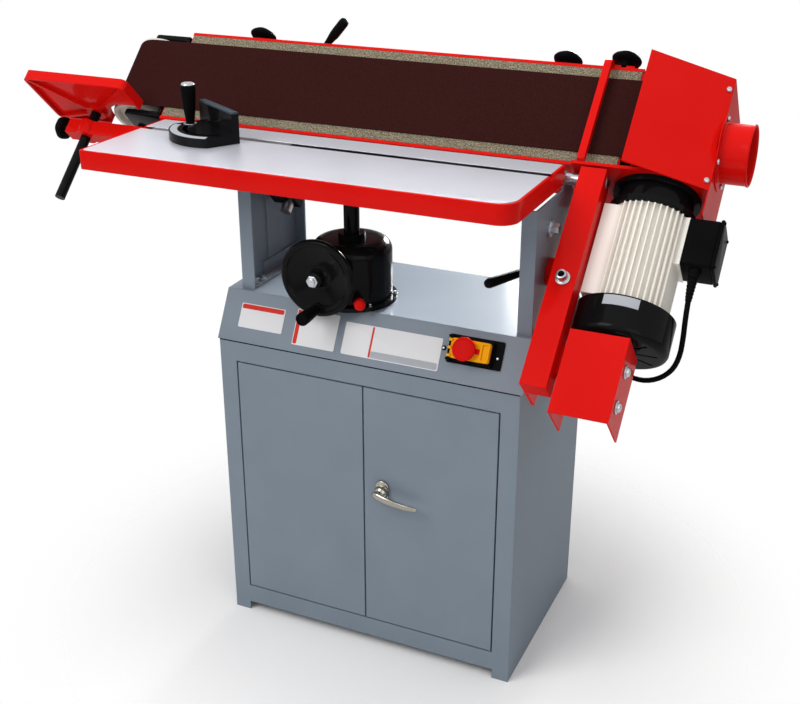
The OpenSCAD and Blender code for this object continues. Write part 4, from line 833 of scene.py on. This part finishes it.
@dataclass
class Console:
    """What sits on the sloping console: stickers, screws, switch flap and its mushroom.

    Args:
        front: Frame of the slope, with x along it, y up it and z out of it.
        switch: Where the switch's lower left corner is on the slope.
        mushroom: The mushroom's middle on the switch.
        hole_r: Radius of the flap's hole for the mushroom's stem.
        stickers: Left, bottom, right and top of each pale sticker.
        bands: The same of each red band.
        strip: The same of the grey strip.
    """

    front: Place = Place((0, 0, 588), (0, -math.sin(SLOPE), math.cos(SLOPE)))
    switch: tuple[float, float] = (440, 33)
    mushroom: tuple[float, float] = (36, 24.5)
    hole_r: float = 7.0
    stickers: tuple[Box, ...] = (
        (32, 27.4, 122, 72), (146, 13.7, 230, 78.9), (244, 13.7, 428, 70.9))
    bands: tuple[Box, ...] = (
        (34, 62, 120, 70.5), (147.5, 15.5, 155, 77), (296.5, 15.2, 300, 69.5))
    strip: Box = (300.5, 15.2, 426, 27)

    def sticker(self, size: Box, low: float, high: float) -> Shell:
        """One flat sticker on the slope, from its underside's height to its face's."""
        return prism(self.front, panel(*size, 2.5), low, high, 0.15)

    def flap(self) -> None:
        """The yellow flap: a plate with a hole for the mushroom's stem, a raised padlock loop and hinge lugs.

        The plate is its outline, taken at even steps, carried up from its back to its face and down again at
        a circle, point for point.
        """
        at = self.front.moved(*self.switch)
        edge = panel(9, 7.3, 80, 41.7, 4)
        edge = np.vstack([edge, edge[:1]])
        run = np.concatenate([[0], np.cumsum(np.linalg.norm(np.diff(edge, axis=0), axis=1))])
        step = np.linspace(0, run[-1], 96, endpoint=False)
        outer = np.stack([np.interp(step, run, edge[:, k]) for k in (0, 1)], -1)
        hole = self.mushroom + self.hole_r * unit(outer - self.mushroom)
        rows = [np.pad(ring, ((0, 0), (0, 1)), constant_values=z)
                for ring, z in ((outer, 13), (outer, 17.6), (hole, 17.6), (hole, 13))]
        plate = Shell.grid(at.put(np.stack(rows)), loop=True)
        path = np.pad(panel(64.5, 9.5, 77.5, 39.5, 3), ((0, 0), (0, 1)), constant_values=18.8)
        loop = carried(np.vstack([path[-1:], path, path[:1]]), panel(-1.8, -2, 1.8, 2, 0.8))[1:-1]
        lugs = [slab(at, (5, s - 2.6, 13.4), (12, s + 2.6, 20), 1.2, 1.5) for s in (11.2, 24.5, 37.8)]
        joined([plate, Shell.grid(at.put(loop), loop=True), *lugs]).piece(
            "padlock_flap", "lid", YELLOW, "switch_lid")
        slab(at, (52, 20, 17.2), (63, 29, 20.4), 1, 1.5).piece("flap_tab", "lid", SIGNAL_RED)

    def build(self) -> None:
        """Builds the console's pieces."""
        for i, size in enumerate(self.stickers):
            self.sticker(size, 0.05, 0.6).piece(f"sticker_{i}", "base", VINYL)
        joined(self.sticker(size, 0.5, 0.9) for size in self.bands).piece("sticker_bands", "base", VINYL_RED)
        self.sticker(self.strip, 0.5, 0.9).piece("sticker_strip", "base", VINYL_GREY)
        # A thin black strip under the console's lower edge is painted shadow, where its overhang shades the
        # cabinet
        slab(WORLD, (0.5, -0.5, 586.4), (579.5, 2, 588.2), 0.2, 0.2).piece("seam_shadow_strip", "base", SHEATH)
        self.flap()
        at = self.front.moved(*self.switch)
        cap = [(POLE, 15), (5.9, 15), (5.9, 24), (19.4, 24), (20.4, 25), (20.4, 27.4), (18.6, 29.8),
               (14.3, 31.5), (7.4, 32.3), (POLE, 32.5)]
        lathe(at.moved(*self.mushroom), cap, 1.5).piece(
            "mushroom_cap", "mushroom", SIGNAL_RED, "stop_mushroom")
        ring = [(POLE, 0), (4.2, 0), (4.2, 1.4), (3.4, 1.8), (POLE, 1.8)]
        lathe(at.moved(-8, 22.5), ring, 0.3, 32).piece("screw_cup", "base", PLASTIC)
        (pan_head(at.moved(-8, 22.5, 1.6), 2.3) + pan_head(at.moved(90, 20, 3), 2.6)).piece(
            "console_screws", "base", STEEL)


@dataclass
class Latch:
    """The chrome door latch: rose, boss and a curved lever broad at its hub.

    Args:
        place: Its frame, with z out of the door.
        lever: Points of the lever's middle line.
        girth: Half widths of the lever at those points.
    """

    place: Place = Place((328, -0.3, 346), (0, -1, 0))
    lever: tuple[Vec, ...] = (
        (-12, 2, 20), (-11, 2, 20.3), (-7, 1.5, 22), (0, 0.5, 23.7), (14, -2.5, 25.2), (32, -6, 25.5),
        (52, -8.5, 24.8), (68, -9, 24), (75, -9, 23.6), (77.3, -9, 23.5))
    girth: tuple[float, ...] = (0.4, 3, 6.4, 7.6, 7.4, 6.6, 5.8, 5, 3.6, 0.4)

    def build(self) -> None:
        """Builds the latch with the shaft and cam behind the door."""
        plate = rounded([(-13, -22), (13, -22), (13, 22), (-13, 22)], 13, 10, True)
        rose = prism(self.place, plate, 0, 5, 2.2)
        neck = [(13.2, 3), (13, 8), (11.5, 12.5), (8, 16), (6.5, 19), (6.5, 24), (POLE, 24)]
        boss = lathe(self.place, neck, 2)
        shaft = lathe(self.place, [(POLE, -21.3), (6, -21.3), (6, 1), (POLE, 1)], 0.4, 32)
        cam = slab(self.place, (-8, -56, -21.3), (8, 8, -18.3))
        oval = circle(24) * np.array([0.62, 1.0])
        arm = carried(self.lever, oval, np.array(self.girth), (0, 1, 0))
        (rose + boss + shaft + cam + Shell.grid(self.place.put(arm))).piece(
            "latch_lever", "latch", CHROME, "latch_handle")


@dataclass
class Lift:
    """Table lift: dished handwheel, nut, grip, column lock and pot screws.

    Args:
        wheel: Frame of the wheel, with z towards the operator.
        grip_down: How far the grip is below the wheel's axis.
        pot: Frame of the pot's foot.
        lock: Frame of the column lock, with z outwards.
        ring: Radius of the circle that the pot's screws stand on.
    """

    wheel: Place = Place((200.5, 22, 732), (0, -1, 0))
    grip_down: float = 55.0
    pot: Place = Place((224, 99, 671))
    lock: Place = Place(
        (224, 99, 691), (math.cos(math.radians(-56)), math.sin(math.radians(-56)), 0), (0, 0, 1))
    ring: float = 75.6

    def build(self) -> None:
        """Builds the lift's pieces."""
        turn = np.linspace(-math.pi / 2, math.pi * 0.8, 15)
        rim = np.stack([63 + 7 * np.cos(turn), 11 + 7 * np.sin(turn)], -1)
        dish = np.vstack([[(POLE, 0), (19, 0), (19, 2.4), (54, 4)], rim,
                          [(54, 13.6), (23, 5.6), (18, 6), (14.5, 10), (13.6, 22), (12.6, 24), (POLE, 24)]])
        boss = [(POLE, 4), (11, 4), (10, 17.8), (POLE, 17.8)]
        pin = lathe(self.wheel.moved(0, -self.grip_down), boss, 1, 32)
        (lathe(self.wheel, dish, 1.5, 88) + pin).piece("dished_wheel", "wheel", BLACK, "handwheel")
        hexagon = rounded(circle(6) * 11.3, 0.8, 3, True)
        end = [(POLE, 31), (7.2, 31), (7.2, 34.6), (5.4, 36.4), (POLE, 36.6)]
        (prism(self.wheel, hexagon, 23.8, 32.2, 1.2) + lathe(self.wheel, end, 1.2, 32)).piece(
            "wheel_nut", "wheel", STEEL)
        handle = [(POLE, 0), (8.6, 0), (9.6, 1.5), (9.4, 8), (11, 30), (11.9, 45), (11.6, 53), (9.5, 56),
                  (7.5, 56), (6.6, 53.4), (POLE, 53.2)]
        lathe(self.wheel.moved(0, -self.grip_down, 18.3), handle, 1.4, 40).piece(
            "turned_grip", "grip", PLASTIC, "crank_grip")
        knob = [(POLE, 17), (4.9, 17), (4.9, 77.8), (6.5, 77.8), (8.2, 80), (10, 86), (10, 95), (8, 100),
                (4, 101.8), (POLE, 101.9)]
        lathe(self.lock, knob, 2.2, 40).piece("lock_knob", "lock", SIGNAL_RED, "column_lock")
        turn = np.radians(np.arange(20, 380, 60))
        joined(pan_head(self.pot.moved(self.ring * math.cos(a), self.ring * math.sin(a), 8), 3.6)
               for a in turn).piece("pot_screws", "base", BLACK)


@dataclass
class Table:
    """The table's painted rim and ribs as one folded bar.

    Args:
        left: Left side, mm.
        right: Right side.
        front: Front edge.
        back: Back edge.
        top: Height of the ground face.
        rim: Thickness of the rim.
        tall: Height of the rim.
        plate: Thickness of the plates.
        slot: Where the mitre slot begins and ends, front to back.
        corners: Radius of the front left and front right corner.
        ribs: Lowest and highest corner of each rib.
    """

    left: float = -221.0
    right: float = 579.0
    front: float = -69.0
    back: float = 187.0
    top: float = TABLE_TOP
    rim: float = 5.0
    tall: float = 34.0
    plate: float = 8.3
    slot: tuple[float, float] = (110.0, 128.0)
    corners: tuple[float, float] = (6.0, 40.0)
    ribs: tuple[tuple[Vec, Vec], ...] = (
        ((-216, -64, 917), (539, -50, 922.9)), ((-216, -50, 917), (-202, 173, 922.7)),
        ((560, -29, 917), (574, 173, 922.7)), ((-216, 173, 905), (574, 179, 922.9)),
        ((138, -50, 905), (144, 173, 922.7)), ((304, -50, 905), (310, 173, 922.7)))

    def build(self) -> None:
        """Carries a rounded bar round three sides; at the slot its top drops to the plate's underside."""
        h = self.rim / 2
        a, b, y0 = self.left + h, self.right - h, self.front + h
        step = 0.02
        side = [self.back, self.slot[1] + step, self.slot[1], self.slot[0], self.slot[0] - step, y0 + 60]
        left = np.array([(a, y, self.top) for y in side])
        right = np.array([(b, y, self.top) for y in side[::-1]])
        bend = rounded([(a, y0 + 60, self.top), (a, y0, self.top), (b, y0, self.top), (b, y0 + 60, self.top)],
                       np.array([0, self.corners[0] - h, self.corners[1] - h, 0]), 17)
        line = np.vstack([left[:-1], bend, right[1:]])
        grid = carried(line, panel(-h, -self.tall, h, 0, 1.2))
        low = self.top - self.plate
        notch = (line[:, 1] >= self.slot[0] - step / 2) & (line[:, 1] <= self.slot[1] + step / 2)
        grid[..., 2] = np.where(notch[:, None] & (grid[..., 2] > low), low, grid[..., 2])
        joined([Shell.grid(stand(grid))] + [slab(WORLD, p, q) for p, q in self.ribs]).piece(
            "folded_rim", "lift", RED, "table_frame")


@dataclass
class Gauge:
    """Mitre gauge: scale band, a painted highlight along the fence's top, handle with its cap and washer.

    Args:
        head: Frame of the swivelling head on the table.
        knob: Frame of the handle's foot.
    """

    head: Place = Place(
        (-50, 119, TABLE_TOP), (0, 0, 1), (math.cos(math.radians(58)), math.sin(math.radians(58)), 0))
    knob: Place = Place((-112, 119, TABLE_TOP))

    def build(self) -> None:
        """Builds the gauge's pieces."""
        turn = np.radians(np.linspace(130, 228, 60))
        arc = np.stack([82 * np.cos(turn), 82 * np.sin(turn), np.full_like(turn, 16.2)], -1)
        band = carried(arc, panel(-6.5, -0.3, 6.5, 0.3, 0.2))
        Shell.grid(self.head.put(band)).piece("gauge_scale", "gauge_head", VINYL_GREY)
        # A blue-grey strip on the fence's top is a painted highlight
        edge = prism(self.head, panel(-9.3, -70.2, 5.3, 62.2, 1), 52.5, 56.3, 1.4)
        edge.piece("fence_edge", "gauge_head", FENCE_HIGHLIGHT)
        grip = [(POLE, 0.1), (4, 0.1), (4, 16.3), (7.4, 16.3), (8.2, 22), (11.3, 46), (13, 70), (13.5, 84),
                (12.6, 88), (POLE, 88.2)]
        lathe(self.knob, grip, 2.5, 40).piece("gauge_handle", "gauge_knob", PLASTIC, "mitre_knob")
        cap = [(POLE, 87), (12.2, 87), (12.4, 88.4), (10.6, 90.8), (7, 91.3), (POLE, 91.3)]
        washer = [(8.5, 16.3), (12.5, 16.3), (12.5, 18), (8.5, 18)]
        (lathe(self.knob, cap, 0.8, 40) + lathe(self.knob, washer, 0.4, 40, loop=True)).piece(
            "gauge_cap", "gauge_knob", STEEL)


@dataclass
class Tilt:
    """Leaning frame: clamp lever and the bolts of beam and guard.

    Args:
        hub: Frame of the clamp's hub, with z along the shaft.
        arm: Frame of the clamp's arm, with z along it.
        bolt: Frame of the beam's bolt.
        guard: Height and depth of the guard's screws.
    """

    hub: Place = Place((546.5, 50, -152), (1, 0, 0), (0, 0, 1), True)
    arm: Place = Place((547, 50, -152), (-0.383, -0.663, -0.643), (0, 0, 1), True)
    bolt: Place = Place((626, -25, -193), (0, -1, 0), (1, 0, 0), True)
    guard: tuple[float, ...] = (-382.5, -323.3)

    def build(self) -> None:
        """Builds the tilt frame's pieces."""
        hub = [(POLE, 0), (11, 0), (13, 2), (13, 24), (12, 26), (POLE, 26)]
        arm = [(POLE, -2), (6.2, -2), (6.6, 10), (7.4, 60), (8.5, 98), (8.5, 106), (6.4, 111), (POLE, 112.4)]
        (lathe(self.hub, hub, 1, 36) + lathe(self.arm, arm, 2.5, 36)).piece(
            "clamp_handle", "tilt_lever", PLASTIC, "clamp_lever")
        washer = [(POLE, 0), (12.5, 0), (12.5, 2.4), (11.4, 3.2), (9, 3.2), (9, 14), (8, 16.6), (5.6, 17.2),
                  (5, 15), (5, 9), (POLE, 9)]
        shell = lathe(self.bolt, washer, 0.6, 40)
        for z in self.guard:
            side = Place((756, -1, z), (1, 0, 0), (0, 0, 1), True)
            flat = lathe(side, [(POLE, 0), (11, 0), (11, 2.4), (POLE, 2.4)], 0.5, 36)
            shell = shell + flat + pan_head(side.moved(0, 0, 2), 8)
        shell.piece("frame_bolts", "tilt", STEEL, "tilt_screws")
        # A black disc at the bottom of the bolt's recess is painted shade
        lathe(self.bolt, [(POLE, 8.8), (5.2, 8.8), (5.2, 9.3), (POLE, 9.3)], 0.1, 24).piece(
            "socket_shade_disc", "tilt", PLASTIC)


@dataclass
class BeltHead:
    """Belt head: idler yoke, stop bar, hand knobs and tension lever.

    Args:
        knobs: Body, node and frame of each hand knob.
        lever: Frame of the tension lever's foot.
        aim: Direction of the tension lever's arm.
        bar: Left and right side of the stop bar.
    """

    knobs: tuple[tuple[str, str, Vec], ...] = (
        ("knob_strap", "strap_knob", (621, 6, 229.3)), ("knob_left", "cover_knob_left", (-106, 14, 225.3)),
        ("knob_right", "cover_knob_right", (515, 14, 225.3)))
    lever: Place = Place((21, 30, 225.3), leaning=True)
    aim: Vec = (0.679, -0.611, 0.407)
    bar: tuple[float, float] = (592, 605)

    def yoke(self) -> None:
        """The idler's yoke: two round-nosed arms on a cross plate, the slide behind it and the axle."""
        nose = rounded([(-346, 2), (-259, 2), (-259, 100), (-346, 100)], np.array([13, 1, 1, 13]), 7, True)
        cross = slab(HEAD, (-265, 2, 33), (-259, 100, 217), 0.8, 0.8)
        arms = [prism(HEAD, nose, z, z + 10, 1.5) for z in (32, 208)]
        slide = slab(HEAD, (-260, 48, 113), (-69, 72, 137), 1, 1.5)
        shaft = [(POLE, 28), (9, 28), (10, 29), (10, 221), (9, 222), (POLE, 222)]
        axle = lathe(Place((-332, 60, 0), leaning=True), shaft, 0.5, 40)
        joined([cross, *arms, slide, axle]).piece("idler_yoke", "fork", BLACK, "idler_fork")

    def strap(self) -> None:
        """The stop bar: a flat bar carried up the belt, bent back over the flange, with a stiffening leg."""
        x0, x1 = self.bar
        path = rounded([(0, -4, 27), (0, -23, 27), (0, -23, 227), (0, 16, 227)], np.array([0, 4, 9, 0]), 9)
        half = (x1 - x0) / 2
        flat = carried(path + (x0 + half, 0, 0), panel(-2, -half, 2, half, 0.6), side=(1, 0, 0))
        leg = slab(HEAD, (x1 - 4, -23, 30), (x1, -13, 217), 0.6, 0.8)
        foot = (((x1 - 2, -3, 225), (616.5, 16, 229)), ((625.5, -3, 225), (640, 16, 229)),
                ((615, 10.4, 225.2), (627, 15.8, 228.8)))
        joined([Shell.grid(HEAD.put(flat)), leg] + [slab(HEAD, a, b) for a, b in foot]).piece(
            "stop_bar", "head", RED, "stop_strap")

    def build(self) -> None:
        """Builds the yoke, the stop bar, the knobs and the lever."""
        self.yoke()
        self.strap()
        dome = [(POLE, -14), (3.9, -14), (3.9, 0), (9, 0), (8.5, 6), (11, 8.5), (22, 10), (25.4, 12.5),
                (26, 16), (23.5, 20.5), (17, 23.2), (8, 24), (POLE, 24.1)]
        for body, node, at in self.knobs:
            lathe(Place(at, leaning=True), dome, 3, 60, 5, 0.035).piece(f"{node}_dome", body, PLASTIC, node)
        hub = [(POLE, -14), (5.9, -14), (5.9, 0), (17, 0), (17, 8), (14, 13), (8, 15), (POLE, 15.2)]
        arm = Place(tuple(np.array(self.lever.at) + (0, 0, 7.5)), self.aim, (0, 0, 1), True)
        grip = [(POLE, 0), (5.6, 0), (6, 16), (7.8, 32), (9.2, 42), (9.5, 50), (9.5, 76), (8.4, 81.5),
                (5, 83.3), (POLE, 83.5)]
        (lathe(self.lever, hub, 2, 40) + lathe(arm, grip, 3, 36)).piece(
            "tension_handle", "belt_lever", PLASTIC, "tension_lever")


@dataclass
class Motor:
    """Motor: terminal box with its gland, and a bare plate on the fan cover.

    Args:
        box: Frame of the box, with x behind the belt, y along the drums and z outwards.
        gland: Frame of the cable gland.
        axis: A point on the motor's axis in the head's frame.
        cover_r: Radius of the fan cover.
    """

    box: Place = Place((791, 0, 0), (1, 0, 0), (0, 1, 0), True)
    gland: Place = Place((815, 40, -133), leaning=True)
    axis: Vec = AXLE
    cover_r: float = 82.0

    def build(self) -> None:
        """Builds the motor's pieces."""
        body = prism(self.box, panel(22, -116, 92, -31, 6), 0, 49.4, 2)
        lid = prism(self.box, panel(19, -119, 95, -28, 8), 50, 56, 2.4)
        seam = prism(self.box, panel(23, -115, 91, -32, 5), 48, 51, 0.1)
        nut = prism(self.gland, rounded(circle(6) * 11, 0.8, 3, True), 9, 17.2, 0.8)
        dome = lathe(self.gland, [(POLE, 0), (7.2, 0), (9.4, 3), (9.6, 9.2), (POLE, 9.2)], 1, 36)
        screws = [pan_head(self.box.moved(y, z, 55.8), 2.6) for z in (-113, -34) for y in (25, 89)]
        joined([body, lid, seam, nut, dome, *screws]).piece("terminal_case", "head", PLASTIC, "terminal_box")
        turn = np.radians(np.linspace(-107, -66, 40))
        r = self.cover_r + 0.4
        arc = np.stack([r * np.cos(turn), r * np.sin(turn), np.full_like(turn, -215)], -1) + self.axis
        plate = carried(arc, panel(-0.3, -8.5, 0.3, 8.5, 0.2))
        Shell.grid(HEAD.put(plate)).piece("bare_plate", "head", VINYL_GREY)


@dataclass
class Hood:
    """Dust hood's screws and its port with a rolled edge.

    Args:
        port: Frame of the port, with z outwards.
        screws: Heights of the two screws on the slanted front.
        apart: Half the distance between the port's screws.
    """

    port: Place = Place((811, 55, 112), (1, 0, 0), (0, 1, 0), True)
    screws: tuple[float, float] = (31, 206)
    apart: float = 41.0

    def build(self) -> None:
        """Builds the port and the screws."""
        tube = [(48.5, 0), (65, 0), (65, 2), (53, 2), (51, 3.4), (51, 45), (52.4, 46), (52.4, 48.4),
                (51, 49.2), (49, 49), (48.5, 46)]
        lathe(self.port, tube, 0.8, 96, loop=True).piece("rolled_port", "head", RED, "dust_port")
        sides = (self.apart, -self.apart)
        square = (self.port.moved(y, z, 2) for z in sides for y in sides)
        slant = (Place((803.8, 8.46, z), (0.442, -0.897, 0), (0, 0, 1), True) for z in self.screws)
        joined(pan_head(at, 5) for at in (*square, *slant)).piece("hood_screws", "head", STEEL, "head_screws")


@dataclass
class SmallTable:
    """The idler table's round knob.

    Args:
        knob: Frame of the knob, with z away from the arm.
    """

    knob: Place = Place((-465.3, 23, -8), (-1, 0, 0), (0, 0, 1), True)

    def build(self) -> None:
        """Builds the knob."""
        ball = [(POLE, -30), (3.9, -30), (3.9, 0), (11, 0), (9.5, 5), (10.5, 8.5), (18, 10.5), (22, 13.5),
                (23, 18), (21.4, 23.5), (16, 28), (8, 29.8), (POLE, 30)]
        lathe(self.knob, ball, 3, 56, 6, 0.03).piece("small_table_knob", "small_knob", PLASTIC, "aux_knob")


def paint(nodes: dict[str, bpy.types.Object]) -> None:
    """Gives every solid that shows its finish.

    Args:
        nodes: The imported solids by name.
    """
    for finish, names in FINISHES.items():
        for name in names.split():
            nodes[name].data.materials.clear()
            nodes[name].data.materials.append(finish.material())


def main() -> None:
    """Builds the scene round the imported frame."""
    logging.basicConfig(level=logging.INFO)
    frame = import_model()
    view = View()
    view.camera()
    Cable().build()
    paint(frame["nodes"])
    for part in (Console, Latch, Lift, Table, Gauge, Tilt, BeltHead, Motor, Hood, SmallTable):
        part().build()
    view.studio()


if __name__ == "__main__":
    main()
